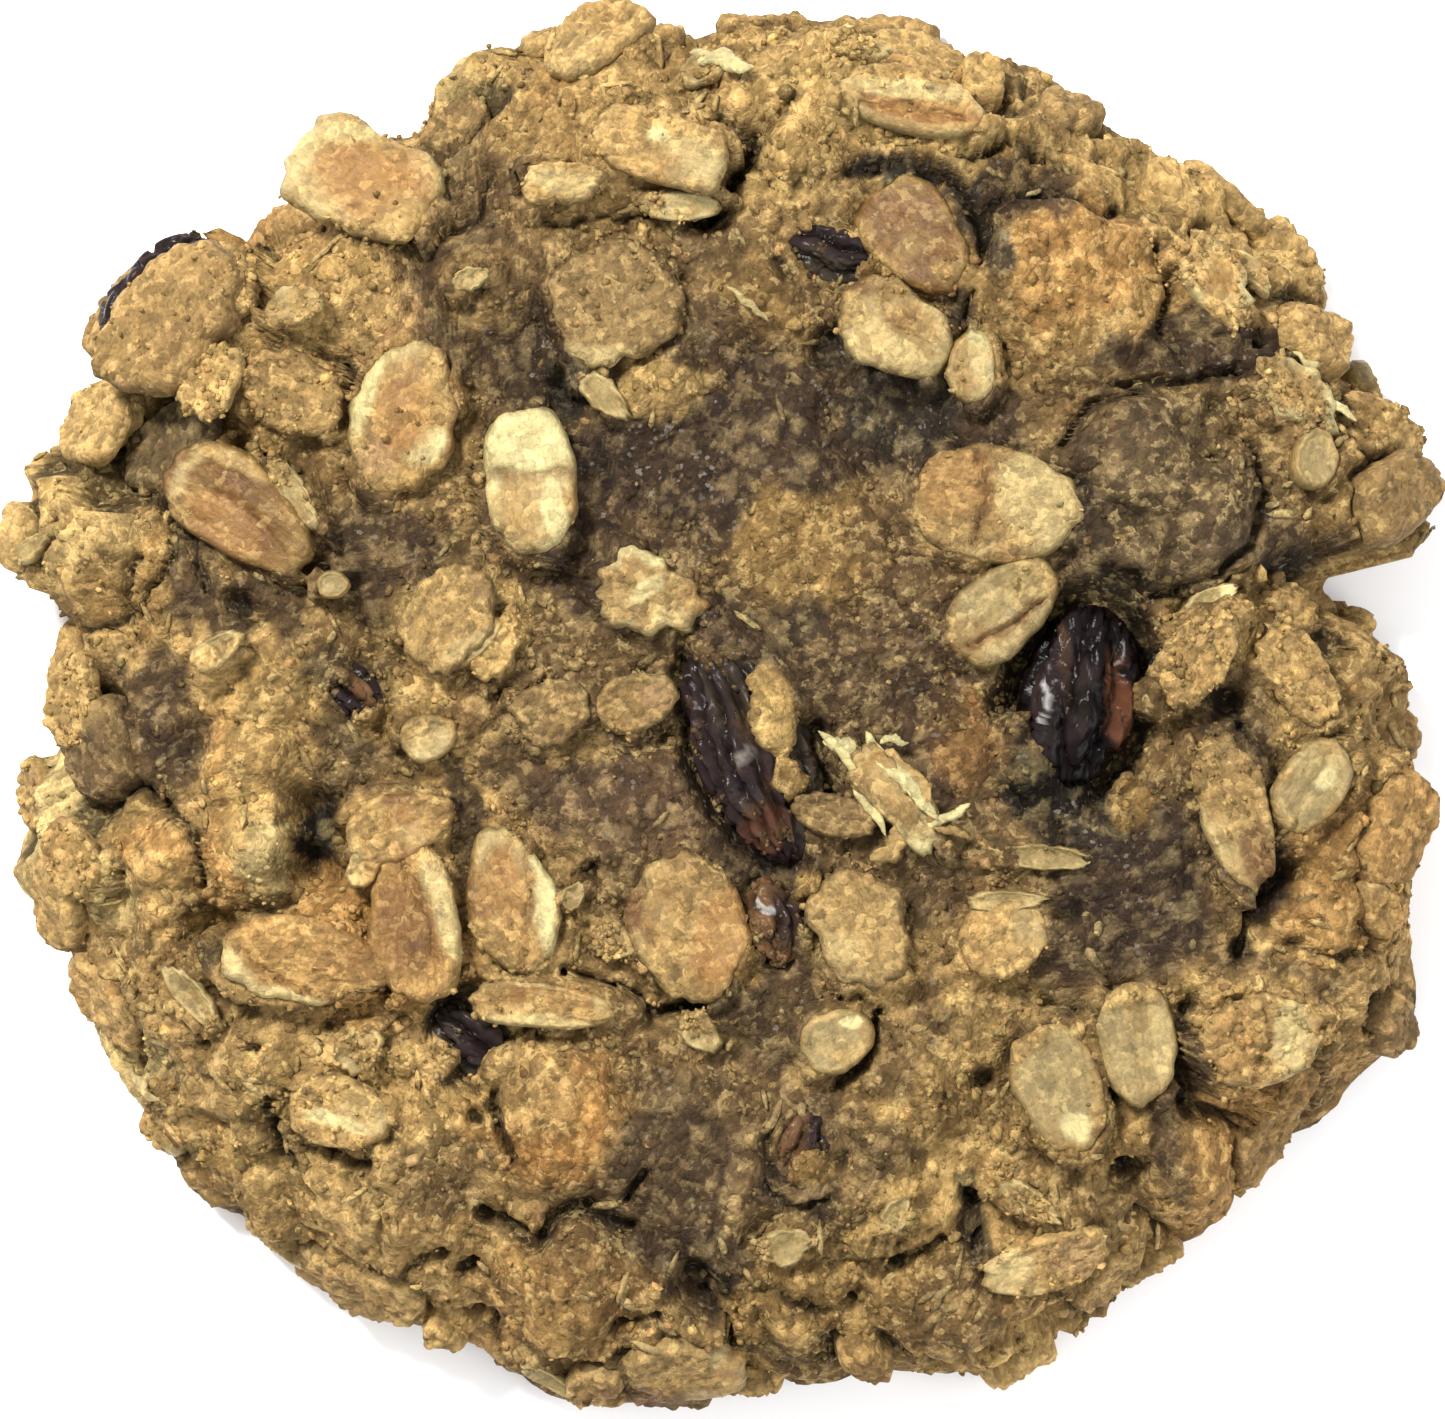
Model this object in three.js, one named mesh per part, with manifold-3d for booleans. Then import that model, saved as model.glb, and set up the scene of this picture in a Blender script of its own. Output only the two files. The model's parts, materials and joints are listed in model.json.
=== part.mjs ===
// An oatmeal raisin cookie, in millimetres, +Z up, standing on its flat underside at z = 0.
// The cookie is one baked solid: a low dome with a lobed outline, lumps and creases, and oat flakes baked into
// its crust. The raisins are pieces of their own, and each sits in a socket that is open at the crust.
import * as THREE from "three";
import { mergeVertices } from "three/addons/utils/BufferGeometryUtils.js";
import Module from "manifold-3d";

const wasm = await Module();
wasm.setup();

// ---- Driving sizes ------------------------------------------------------------------------------------------

const BASE_RADIUS = 38.1;
const CROWN_HEIGHT = 12.9;

// The section from the crown to the foot: [share of the outline's radius, share of the crown's height].
const SECTION = [
  [0, 1],
  [0.3, 0.99],
  [0.6, 0.95],
  [0.76, 0.89],
  [0.88, 0.76],
  [0.95, 0.58],
  [0.99, 0.38],
  [1, 0.2],
  [0.985, 0.07],
  [0.95, 0],
];

// Lobes and notches of the outline: [bearing in degrees, reach in mm, half width in degrees].
const LOBES = [
  [9, -3.4, 5],
  [21, 2.3, 7],
  [36, 1.5, 5],
  [46, 1, 6],
  [70, -0.8, 3],
  [81, 0.1, 4],
  [93, -0.9, 4],
  [118, -2.5, 4],
  [132, -2.3, 5],
  [144, 1, 5],
  [164, 2.1, 6],
  [176, -3, 5],
  [185, -0.8, 4],
  [195, 1.4, 5],
  [222, 0.7, 8],
  [248, -0.7, 5],
  [259, 0.9, 5],
  [276, -1.6, 9],
  [293, 0.7, 7],
  [313, 0.4, 5],
  [326, 0.9, 4],
  [336, 2.7, 6],
  [348, 0.9, 5],
  [358, -0.9, 4],
];

// Lumps of the crust: [x, y, radius, height], each a low dome that meets its neighbours in a crease.
const LUMPS = [
  [-28.8, 21, 5.5, 2.2],
  [-20.7, 23.2, 4.9, 1.8],
  [-33.7, 14.5, 4.9, 2],
  [-34.8, 8.6, 5.1, 1.8],
  [-5.6, 32.3, 5.9, 2.1],
  [7.4, 33.2, 6.1, 1.4],
  [17.9, 22.6, 5.9, 2.5],
  [31.2, 21.8, 3.6, 1.8],
  [35.8, 13.7, 4.7, 1.4],
  [23.1, 11.3, 6.1, 2.1],
  [-25.3, 1.6, 3.2, 2.1],
  [-25.4, -2.6, 3, 2.1],
  [-24.6, -6.8, 2.8, 2],
  [-29.6, -8.6, 3.8, 1.7],
  [4.2, 9.4, 4.9, 1],
  [33.9, -8.5, 5.9, 1.7],
  [-8.8, -22, 4.7, 2.5],
  [-8.3, -30.9, 5.1, 2],
  [-3.7, -35.3, 4.2, 1.7],
  [-1.5, -23.9, 5.1, 1.2],
  [26.6, -16.7, 3.4, 1.6],
  [25.8, -25.2, 3.8, 1.7],
  [-26.6, -19, 4, 1.6],
  [-29.4, -16.8, 3.2, 1.3],
  [-18, -25.5, 4.2, 1.3],
  [12, -33, 4.5, 1.4],
  [10, -21, 3.6, 1],
  [21, -33, 3.8, 1.3],
];

// Hollows and open pits: [x, y, radius, depth].
const HOLLOWS = [
  [8.5, 16.1, 3.6, 1.7],
  [-22.4, -5.6, 2, 2.4],
  [-22.2, -8.4, 2, 2.4],
  [-8, 17.4, 1.9, 1.6],
  [-1.6, -31.2, 1.8, 2.6],
  [22.1, -25.2, 1.7, 1.5],
  [13.5, -27.4, 1.8, 1.6],
  [-27.6, -12.2, 1.8, 1.8],
  [-0.7, 26.6, 1.5, 1.4],
  [-13, -17.6, 2.6, 1.2],
];

// Oat flakes of the top crust: [x, y, length, width, turn in degrees].
const TOP_FLAKES = [
  [-19.2, 28.1, 8.6, 6, -25],
  [-23.1, 16.8, 5.8, 4.6, -30],
  [-16.9, 15.3, 9, 5.7, 78],
  [-25.8, 10.6, 9.4, 5.2, -38],
  [-3.1, 29.9, 7.6, 4.2, -20],
  [10.4, 32.4, 7.8, 3.9, -12],
  [10.4, 25.6, 7.8, 5.3, -48],
  [9, 20.7, 7.4, 5, -45],
  [13.2, 18.4, 4, 2.7, 85],
  [-5.9, 21.6, 7, 6.2, 20],
  [-10.4, 12.4, 8, 5, 97],
  [26.2, 22.6, 5.6, 2.8, -60],
  [30.4, 16.7, 5.8, 3.6, -35],
  [15, 11.4, 9.2, 6.2, -5],
  [-17.8, -6.8, 6.9, 4.2, 20],
  [-23.4, -14, 7, 5, -10],
  [-16.1, -11.7, 8.6, 5.2, 75],
  [-11.2, -10.4, 8.2, 4.7, 104],
  [-34.8, 0.5, 5.4, 3.2, 80],
  [-34.6, -8.8, 4.2, 3, -50],
  [-14.5, 2.4, 10.8, 7.4, 70],
  [-3.6, 5.9, 6.5, 4, -25],
  [-4.9, 0.2, 4.4, 3.2, 20],
  [-1.8, -11.7, 8.2, 6, -70],
  [7.6, -11.5, 6.4, 5, -60],
  [7.7, -4.6, 6.6, 1.8, -50],
  [14.7, 5.2, 6.8, 4.5, 42],
  [25, 3.4, 6.6, 4, 45],
  [30.8, 1.8, 5.8, 3.4, -55],
  [31.4, -4.2, 5.6, 3.8, 50],
  [27.4, -5.8, 8.6, 3.6, -70],
  [14.6, -11.7, 5.4, 4.4, 30],
  [-28.2, -15.4, 4.8, 2, -52],
  [-9.6, -15.9, 8.2, 2.2, -5],
  [-9.1, -36, 4.4, 1.8, -45],
  [5.7, -18.2, 4.8, 3.4, 20],
  [17.7, -20.1, 7.2, 5, -65],
  [22, -18.1, 6.6, 4.8, -75],
  [29.9, -17.9, 4.6, 3.8, 60],
  [17.4, -29.5, 7, 3.6, 14],
];
const FLAKE_THICKNESS = 2;
const FLAKE_LIFT = 0.25;
const FLAKE_SIDES = 8;
const FLAKE_ROWS = 4;

// Oat flakes of the side wall: spread evenly round the cookie, at three levels and four tilts in turn.
const SIDE_FLAKES = {
  count: 13,
  firstBearing: 16,
  levels: [0.79, 0.92, 0.85],
  tilts: [-35, 20, -10, 40],
  length: 6.6,
  width: 4.4,
};

// Raisins: place in plan, half sizes along, across and up, turn in degrees, and how far the middle lies below
// the crust.
const RAISINS = {
  raisin_right: { at: [19.2, 0.6], half: [5.3, 3.4, 2.7], turn: 79, sunk: 0.9 },
  raisin_middle: { at: [1.7, -2.2], half: [6.9, 3.2, 2.5], turn: 112, sunk: 1 },
  raisin_amber: { at: [2.7, -11.3], half: [2.5, 1.9, 1.6], turn: 105, sunk: 0.6 },
  raisin_rim: { at: [-30.2, 22], half: [4.4, 2.7, 2.6], turn: 48, sunk: 1.7 },
  raisin_lower_left: { at: [-13, -18], half: [3.3, 2.2, 1.9], turn: -40, sunk: 0.7 },
  raisin_upper_right: { at: [5.8, 24.4], half: [3, 1.9, 1.7], turn: -20, sunk: 0.5 },
  raisin_left: { at: [-19.8, 0.9], half: [2.2, 1.5, 1.4], turn: -50, sunk: 0.5 },
  raisin_lower: { at: [4.2, -23.3], half: [2.3, 1.7, 1.4], turn: 70, sunk: 0.5 },
};
const LARGE_RAISIN = 5;
const LARGE_DETAIL = 3;
const SMALL_DETAIL = 2;
const RAISIN_FOLDS = 5;
const FOLD_DEPTH = 0.09;
const SOCKET_GAP = 0.3;

const CRUST_DETAIL = 13;
const FOOT_ANGLE = 150;
const FOOT_FADE = [0.4, 4];
const RIPPLE_HEIGHT = 0.32;
const CURVE_SAMPLES = 400;

// ---- The form of the crust ----------------------------------------------------------------------------------

const radians = THREE.MathUtils.degToRad;
const sectionCurve = new THREE.SplineCurve(
  SECTION.map(([reach, height]) => new THREE.Vector2(reach * BASE_RADIUS, height * CROWN_HEIGHT)),
);
sectionCurve.arcLengthDivisions = CURVE_SAMPLES;
const sectionSamples = sectionCurve.getSpacedPoints(CURVE_SAMPLES);

// The radius of the outline at a bearing in radians.
function outlineRadius(bearing) {
  return LOBES.reduce((radius, [at, reach, halfWidth]) => {
    const apart = THREE.MathUtils.euclideanModulo(THREE.MathUtils.radToDeg(bearing) - at + 180, 360) - 180;
    return radius + reach * Math.exp(-((apart / halfWidth) ** 2));
  }, BASE_RADIUS);
}

// The smooth dome at a bearing, and a share of the way along the section from the crown to the foot.
function smoothPoint(bearing, share) {
  const { x: reach, y: height } = sectionCurve.getPointAt(THREE.MathUtils.clamp(share, 0, 1));
  const radius = (reach * outlineRadius(bearing)) / BASE_RADIUS;
  return new THREE.Vector3(radius * Math.cos(bearing), radius * Math.sin(bearing), height);
}

// The outward direction of the smooth dome there.
function smoothNormal(bearing, share) {
  const slope = sectionCurve.getTangentAt(THREE.MathUtils.clamp(share, 0, 1));
  return new THREE.Vector3(-slope.y * Math.cos(bearing), -slope.y * Math.sin(bearing), slope.x).normalize();
}

// The share of the section at which the top of the dome passes over a point in plan.
function shareAbove(x, y) {
  const reach = (Math.hypot(x, y) * BASE_RADIUS) / outlineRadius(Math.atan2(y, x));
  const widest = sectionSamples.findIndex((sample) => sample.x >= 0.999 * BASE_RADIUS);
  const index = sectionSamples.findIndex((sample) => sample.x >= reach);
  return (index < 0 ? widest : index) / CURVE_SAMPLES;
}

const domeOver = ([x, y, radius, height]) => ({
  centre: smoothPoint(Math.atan2(y, x), shareAbove(x, y)),
  radius,
  height,
});
const lumps = LUMPS.map(domeOver);
const hollows = HOLLOWS.map(domeOver);

// One low dome's height at a point: full at its middle, none from its radius on.
function domeHeight(point, { centre, radius, height }) {
  const nearness = 1 - (point.distanceTo(centre) / radius) ** 2;
  return nearness > 0 ? height * nearness : 0;
}

// How far the crust stands out of the smooth dome at a point of it.
function relief(point) {
  const { x, y, z } = point;
  const raised = Math.max(...lumps.map((lump) => domeHeight(point, lump)));
  const sunk = Math.max(...hollows.map((hollow) => domeHeight(point, hollow)));
  const ripple = Math.sin(0.93 * x + 1.3 * z) * Math.sin(0.81 * y - 0.6 * z) + Math.sin(0.47 * (x - y) + z);
  const fade = THREE.MathUtils.smoothstep(z, ...FOOT_FADE);
  return (raised - sunk + RIPPLE_HEIGHT * ripple) * fade;
}

// The crust at a bearing and a share of the section, with its lumps and hollows.
function crustPoint(bearing, share) {
  const point = smoothPoint(bearing, share);
  return point.addScaledVector(smoothNormal(bearing, share), relief(point));
}

// The cookie without flakes: a geodesic ball whose upper part becomes the crust and whose foot lies flat.
function crustGeometry() {
  const geometry = plainGeometry(new THREE.IcosahedronGeometry(1, CRUST_DETAIL));
  const place = geometry.attributes.position;
  const footAngle = radians(FOOT_ANGLE);
  const foot = SECTION.at(-1)[0];
  for (let i = 0; i < place.count; i++) {
    const direction = new THREE.Vector3().fromBufferAttribute(place, i).normalize();
    const bearing = Math.atan2(direction.y, direction.x);
    const angle = Math.acos(direction.z);
    if (angle < footAngle) {
      place.setXYZ(i, ...crustPoint(bearing, angle / footAngle));
    } else {
      const radius = (foot * outlineRadius(bearing) * (Math.PI - angle)) / (Math.PI - footAngle);
      place.setXYZ(i, radius * Math.cos(bearing), radius * Math.sin(bearing), 0);
    }
  }
  return geometry;
}

// ---- Pieces -------------------------------------------------------------------------------------------------

// A closed geometry that holds only merged positions.
function plainGeometry(geometry) {
  geometry.deleteAttribute("normal");
  geometry.deleteAttribute("uv");
  return mergeVertices(geometry, 1e-4);
}

// The frame of a piece that lies on the crust: its long side turned, its thin side along the outward normal.
function lyingOn(point, normal, turnDegrees) {
  const turn = radians(turnDegrees);
  const along = new THREE.Vector3(Math.cos(turn), Math.sin(turn), 0).projectOnPlane(normal).normalize();
  const across = normal.clone().cross(along);
  return new THREE.Matrix4().makeBasis(along, across, normal).setPosition(point);
}

// A frame over the top crust at a place in plan, `lift` above it.
function overTop(x, y, turnDegrees, lift) {
  const bearing = Math.atan2(y, x);
  const share = shareAbove(x, y);
  const normal = smoothNormal(bearing, share);
  return lyingOn(crustPoint(bearing, share).addScaledVector(normal, lift), normal, turnDegrees);
}

// An oat flake: a flat oval bead with its poles on its two faces.
function flakeGeometry(length, width, frame) {
  const bead = new THREE.SphereGeometry(1, FLAKE_SIDES, FLAKE_ROWS).rotateX(Math.PI / 2);
  bead.scale(length / 2, width / 2, FLAKE_THICKNESS / 2);
  return plainGeometry(bead).applyMatrix4(frame);
}

function topFlakes() {
  return TOP_FLAKES.map(([x, y, length, width, turn]) =>
    flakeGeometry(length, width, overTop(x, y, turn, FLAKE_LIFT)),
  );
}

function sideFlakes() {
  const { count, firstBearing, levels, tilts, length, width } = SIDE_FLAKES;
  return Array.from({ length: count }, (_, i) => {
    const degrees = firstBearing + (i * 360) / count;
    const bearing = radians(degrees);
    const share = levels[i % levels.length];
    const frame = lyingOn(crustPoint(bearing, share), smoothNormal(bearing, share), degrees + 90);
    frame.multiply(new THREE.Matrix4().makeRotationZ(radians(tilts[i % tilts.length])));
    return flakeGeometry(length, width, frame);
  });
}

// A raisin: a long bead with folds that run along it; `grow` makes it that much larger all round.
function raisinGeometry({ at, half, turn, sunk }, detail, grow = 0) {
  const geometry = plainGeometry(new THREE.IcosahedronGeometry(1, detail));
  const place = geometry.attributes.position;
  for (let i = 0; i < place.count; i++) {
    const { x, y, z } = new THREE.Vector3().fromBufferAttribute(place, i);
    const round = Math.atan2(z, y) + 0.5 * Math.sin(2 * x);
    const girth = 1 + FOLD_DEPTH * Math.cos(RAISIN_FOLDS * round) * (1 - x * x);
    place.setXYZ(i, x * (half[0] + grow), y * (half[1] * girth + grow), z * (half[2] * girth + grow));
  }
  return geometry.applyMatrix4(overTop(at[0], at[1], turn, -sunk));
}

// ---- Joining and cutting ------------------------------------------------------------------------------------

function solidFrom(geometry) {
  const mesh = new wasm.Mesh({
    numProp: 3,
    vertProperties: new Float32Array(geometry.attributes.position.array),
    triVerts: new Uint32Array(geometry.index.array),
  });
  return new wasm.Manifold(mesh);
}

function geometryFrom(solid) {
  const mesh = solid.getMesh();
  return new THREE.BufferGeometry()
    .setAttribute("position", new THREE.BufferAttribute(mesh.vertProperties, 3))
    .setIndex(new THREE.BufferAttribute(mesh.triVerts, 1));
}

// The largest body of a solid, without the loose scraps that cutting can leave.
function largestBody(solid) {
  return solid.decompose().reduce((largest, body) => (body.volume() > largest.volume() ? body : largest));
}

function cookieSolid() {
  const flaked = [...topFlakes(), ...sideFlakes()].reduce(
    (body, flake) => body.add(solidFrom(flake)),
    solidFrom(crustGeometry()),
  );
  const socketed = Object.values(RAISINS).reduce(
    (body, raisin) => body.subtract(solidFrom(raisinGeometry(raisin, SMALL_DETAIL, SOCKET_GAP))),
    flaked,
  );
  return largestBody(socketed);
}

// ---- The part -----------------------------------------------------------------------------------------------

const crustMaterial = new THREE.MeshStandardMaterial({ color: 0xa87d45, roughness: 0.85, metalness: 0 });
const raisinMaterial = new THREE.MeshStandardMaterial({ color: 0x2e1a20, roughness: 0.35, metalness: 0 });

function namedMesh(name, geometry, material) {
  const mesh = new THREE.Mesh(geometry, material);
  mesh.name = name;
  return mesh;
}

const cookie = new THREE.Group();
cookie.add(namedMesh("cookie", geometryFrom(cookieSolid()), crustMaterial));
for (const [name, raisin] of Object.entries(RAISINS)) {
  const detail = raisin.half[0] < LARGE_RAISIN ? SMALL_DETAIL : LARGE_DETAIL;
  cookie.add(namedMesh(name, raisinGeometry(raisin, detail), raisinMaterial));
}

export default cookie;
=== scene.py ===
"""The looks of an oatmeal raisin cookie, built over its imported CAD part.

Lengths are in millimetres until a mesh is made, in the part's own frame: +Z up out of the crust, +Y towards
the top of the view. The dough is one displaced mesh over the part's own form. Oat flakes, slivers and crumbs
are meshes set on it. Each raisin is a wrinkled mesh in the place of its CAD node.
"""

import json
import math
from collections import namedtuple

import bpy
import numpy as np
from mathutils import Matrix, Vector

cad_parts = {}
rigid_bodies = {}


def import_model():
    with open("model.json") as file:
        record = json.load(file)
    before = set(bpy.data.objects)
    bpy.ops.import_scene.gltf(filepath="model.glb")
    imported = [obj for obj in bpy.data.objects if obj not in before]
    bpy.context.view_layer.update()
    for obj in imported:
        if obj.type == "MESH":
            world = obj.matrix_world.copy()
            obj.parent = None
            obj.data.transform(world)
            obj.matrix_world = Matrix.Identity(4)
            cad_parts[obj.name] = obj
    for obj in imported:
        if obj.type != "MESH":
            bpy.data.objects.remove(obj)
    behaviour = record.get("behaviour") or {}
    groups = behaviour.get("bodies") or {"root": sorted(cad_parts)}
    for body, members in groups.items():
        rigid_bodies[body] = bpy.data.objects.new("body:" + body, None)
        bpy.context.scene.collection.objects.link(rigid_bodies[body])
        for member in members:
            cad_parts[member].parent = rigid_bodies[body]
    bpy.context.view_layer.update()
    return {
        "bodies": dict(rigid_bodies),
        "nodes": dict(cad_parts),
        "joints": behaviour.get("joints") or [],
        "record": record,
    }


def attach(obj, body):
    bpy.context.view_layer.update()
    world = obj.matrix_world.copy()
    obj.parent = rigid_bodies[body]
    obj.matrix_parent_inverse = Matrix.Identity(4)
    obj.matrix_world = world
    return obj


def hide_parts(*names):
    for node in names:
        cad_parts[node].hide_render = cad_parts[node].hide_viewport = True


MM = 0.001
FULL_TURN = 2 * math.pi

# ---- The part's form, as in its CAD source -------------------------------------------------------

BASE_RADIUS = 38.1
CROWN_HEIGHT = 12.9

# The section from the crown to the foot: share of the outline's radius, share of the crown's height.
SECTION = np.array([
    (0, 1), (0.3, 0.99), (0.6, 0.95), (0.76, 0.89), (0.88, 0.76),
    (0.95, 0.58), (0.99, 0.38), (1, 0.2), (0.985, 0.07), (0.95, 0),
])

# Lobes and notches of the outline: bearing in degrees, reach, half width in degrees.
LOBES = np.array([
    # The part's own.
    (9, -3.4, 5), (21, 2.3, 7), (36, 1.5, 5), (46, 1, 6), (70, -0.8, 3), (81, 0.1, 4), (93, -0.9, 4),
    (118, -2.5, 4), (132, -2.3, 5), (144, 1, 5), (164, 2.1, 6), (176, -3, 5), (185, -0.8, 4),
    (195, 1.4, 5), (222, 0.7, 8), (248, -0.7, 5), (259, 0.9, 5), (276, -1.6, 9), (293, 0.7, 7),
    (313, 0.4, 5), (326, 0.9, 4), (336, 2.7, 6), (348, 0.9, 5), (358, -0.9, 4),
    # Finer ones.
    (4, 0.6, 3), (12.2, -2.6, 2.8), (18, -0.3, 3), (30, -0.6, 4), (65, 0.8, 4), (74, -0.7, 3),
    (94, -0.7, 4), (104, -0.6, 4), (111, 0.5, 3), (127, -1.5, 4), (130, -0.6, 3), (137, -1.3, 3),
    (154, -2.4, 4), (167, -1.2, 4), (176, 0.4, 3), (184, -1.3, 3), (191, 0.5, 3), (198, -0.8, 3),
    (262, -0.2, 4), (277, 0.8, 4), (295, -0.3, 4), (315, 0.6, 3), (320, -0.6, 4), (325, 0.5, 3),
    (332, 0.8, 6), (348, -1.1, 5), (355, 0.5, 4),
])

# Domes on the crust: x, y, radius, height. The lumps are the part's own, the knobs are finer.
LUMPS = [
    (-28.8, 21, 5.5, 2.2), (-20.7, 23.2, 4.9, 1.8), (-33.7, 14.5, 4.9, 2), (-34.8, 8.6, 5.1, 1.8),
    (-5.6, 32.3, 5.9, 2.1), (7.4, 33.2, 6.1, 1.4), (17.9, 22.6, 5.9, 2.5), (31.2, 21.8, 3.6, 1.8),
    (35.8, 13.7, 4.7, 1.4), (23.1, 11.3, 6.1, 2.1), (-25.3, 1.6, 3.2, 2.1), (-25.4, -2.6, 3, 2.1),
    (-24.6, -6.8, 2.8, 2), (-29.6, -8.6, 3.8, 1.7), (4.2, 9.4, 4.9, 1), (33.9, -8.5, 5.9, 1.7),
    (-8.8, -22, 4.7, 2.5), (-8.3, -30.9, 5.1, 2), (-3.7, -35.3, 4.2, 1.7), (-1.5, -23.9, 5.1, 1.2),
    (26.6, -16.7, 3.4, 1.6), (25.8, -25.2, 3.8, 1.7), (-26.6, -19, 4, 1.6), (-29.4, -16.8, 3.2, 1.3),
    (-18, -25.5, 4.2, 1.3), (12, -33, 4.5, 1.4), (10, -21, 3.6, 1), (21, -33, 3.8, 1.3),
]
KNOBS = [
    (-12.5, 22.9, 3.6, 1.3), (3.5, 28.8, 2.9, 1.3), (-8.7, 28, 2.6, 0.9), (-3.2, 17, 2.7, 0.9),
    (1.9, 21.9, 3, 0.9), (-24.6, 22.3, 2, 1.1), (-13.6, 23.1, 1.2, 0.8), (-20.8, 6.6, 1.3, 0.9),
    (-14.4, 4.6, 4.2, 1.2), (-15.8, -0.7, 2.8, 1.1), (-9.2, -0.3, 2.4, 0.9), (-0.9, 5.2, 0.9, 0.9),
    (-32.4, 20.6, 2.6, 0.8), (-36, 12.8, 2.8, 0.9), (-33.6, 2.2, 2.5, 0.9), (-36.2, -4.2, 2.6, 1),
    (-31, -12.6, 2.4, 1), (-32.6, -16, 2.4, 0.9), (-29.6, -21.6, 2.6, 1), (-24.2, -22.6, 2.6, 1),
    (-21.4, -25, 2.4, 0.8), (-14.2, -23.4, 2.5, 1), (-13.8, -31.2, 2.3, 0.8), (-24.6, -27, 2.6, 0.9),
    (5.8, -5.9, 2.2, 1.1), (14.6, -12.4, 2.9, 1), (11.6, -17.8, 2.5, 0.9), (8, -27.6, 2.8, 0.9),
    (4, -33.6, 2.7, 0.9), (9.8, -34, 2.2, 0.8), (16.4, -33.4, 2.6, 0.9), (21.6, -29.6, 2.4, 0.9),
    (29.6, -23.2, 2.5, 0.9), (34.8, -14.4, 2.6, 0.9), (36.6, -4.6, 2.3, 0.8), (34.6, 2.2, 2.4, 0.9),
    (27, -1.6, 2.3, 0.8), (22.8, 0.6, 2.2, 1.1), (26.4, 28.6, 2.8, 0.9), (21.4, 31, 2.7, 0.9),
    (13.4, 30.2, 2.6, 0.8), (0.6, 34.8, 2.4, 0.8), (-11.4, 33, 2.6, 0.9), (30.8, 7.2, 1.7, 0.7),
    (22.4, 14.8, 2.5, 0.6), (26.4, 11.4, 2.3, 0.6), (16.8, 18.4, 2.6, 0.7), (-18.8, -30.2, 2.4, 0.8),
    (-27.2, 3.1, 1.7, 0.8), (12.6, -3.6, 2.2, 0.5), (-6.8, -4.4, 3.2, 0.6), (25, -6.4, 2.4, 0.8),
    (-24.7, -8.8, 2.5, 1.9), (-24, -2.4, 1.8, 1),
]

# Domes cut into the crust: x, y, radius, depth. The hollows are the part's own, the pits are finer.
HOLLOWS = [
    (8.5, 16.1, 3.6, 1.7), (-22.4, -5.6, 2, 2.4), (-22.2, -8.4, 2, 2.4), (-8, 17.4, 1.9, 1.6),
    (-1.6, -31.2, 1.8, 2.6), (22.1, -25.2, 1.7, 1.5), (13.5, -27.4, 1.8, 1.6), (-27.6, -12.2, 1.8, 1.8),
    (-0.7, 26.6, 1.5, 1.4), (-13, -17.6, 2.6, 1.2),
]
PITS = [
    (-9.9, 34.5, 0.75, 1.6), (-7.1, -8.5, 0.65, 1.1), (-13.8, -30.2, 0.8, 1.5), (6.3, -24.2, 0.7, 1),
    (-13.3, -22, 0.6, 1), (-13, -27.5, 0.7, 1.1), (-27.8, -18, 0.6, 0.9), (-25, -18, 0.5, 0.9),
    (-21.3, -17, 0.5, 0.8), (-20.3, 18.5, 0.7, 1.1), (-29.8, 18, 1.1, 1.6), (31.4, 22.9, 0.5, 0.8),
    (5.6, 19.3, 1.5, 1.2), (13.8, -26.2, 0.8, 1.4), (13.9, -28.9, 0.7, 1.4), (27.1, 0.3, 1.2, 1.5),
    (-29, 14.3, 1.3, 1.2), (-26, 5.5, 0.9, 1), (22.1, -25, 0.9, 1.2), (25, -15.8, 0.7, 1.2),
    (14, -20, 0.8, 1.2), (20.9, -20.8, 0.7, 1.2), (17, 28, 1.1, 1), (28.8, 19.4, 1, 1.1),
    (30.3, -8.5, 0.9, 1.2), (28, -13, 0.9, 1.1), (-32.9, -8.2, 0.6, 1), (28.3, -22.5, 0.7, 1),
    (-19.9, 27.2, 0.4, 0.7), (-16.9, 21.5, 0.5, 0.7), (20.4, -33.6, 0.6, 0.8), (-36, 2, 0.7, 0.8),
]

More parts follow.
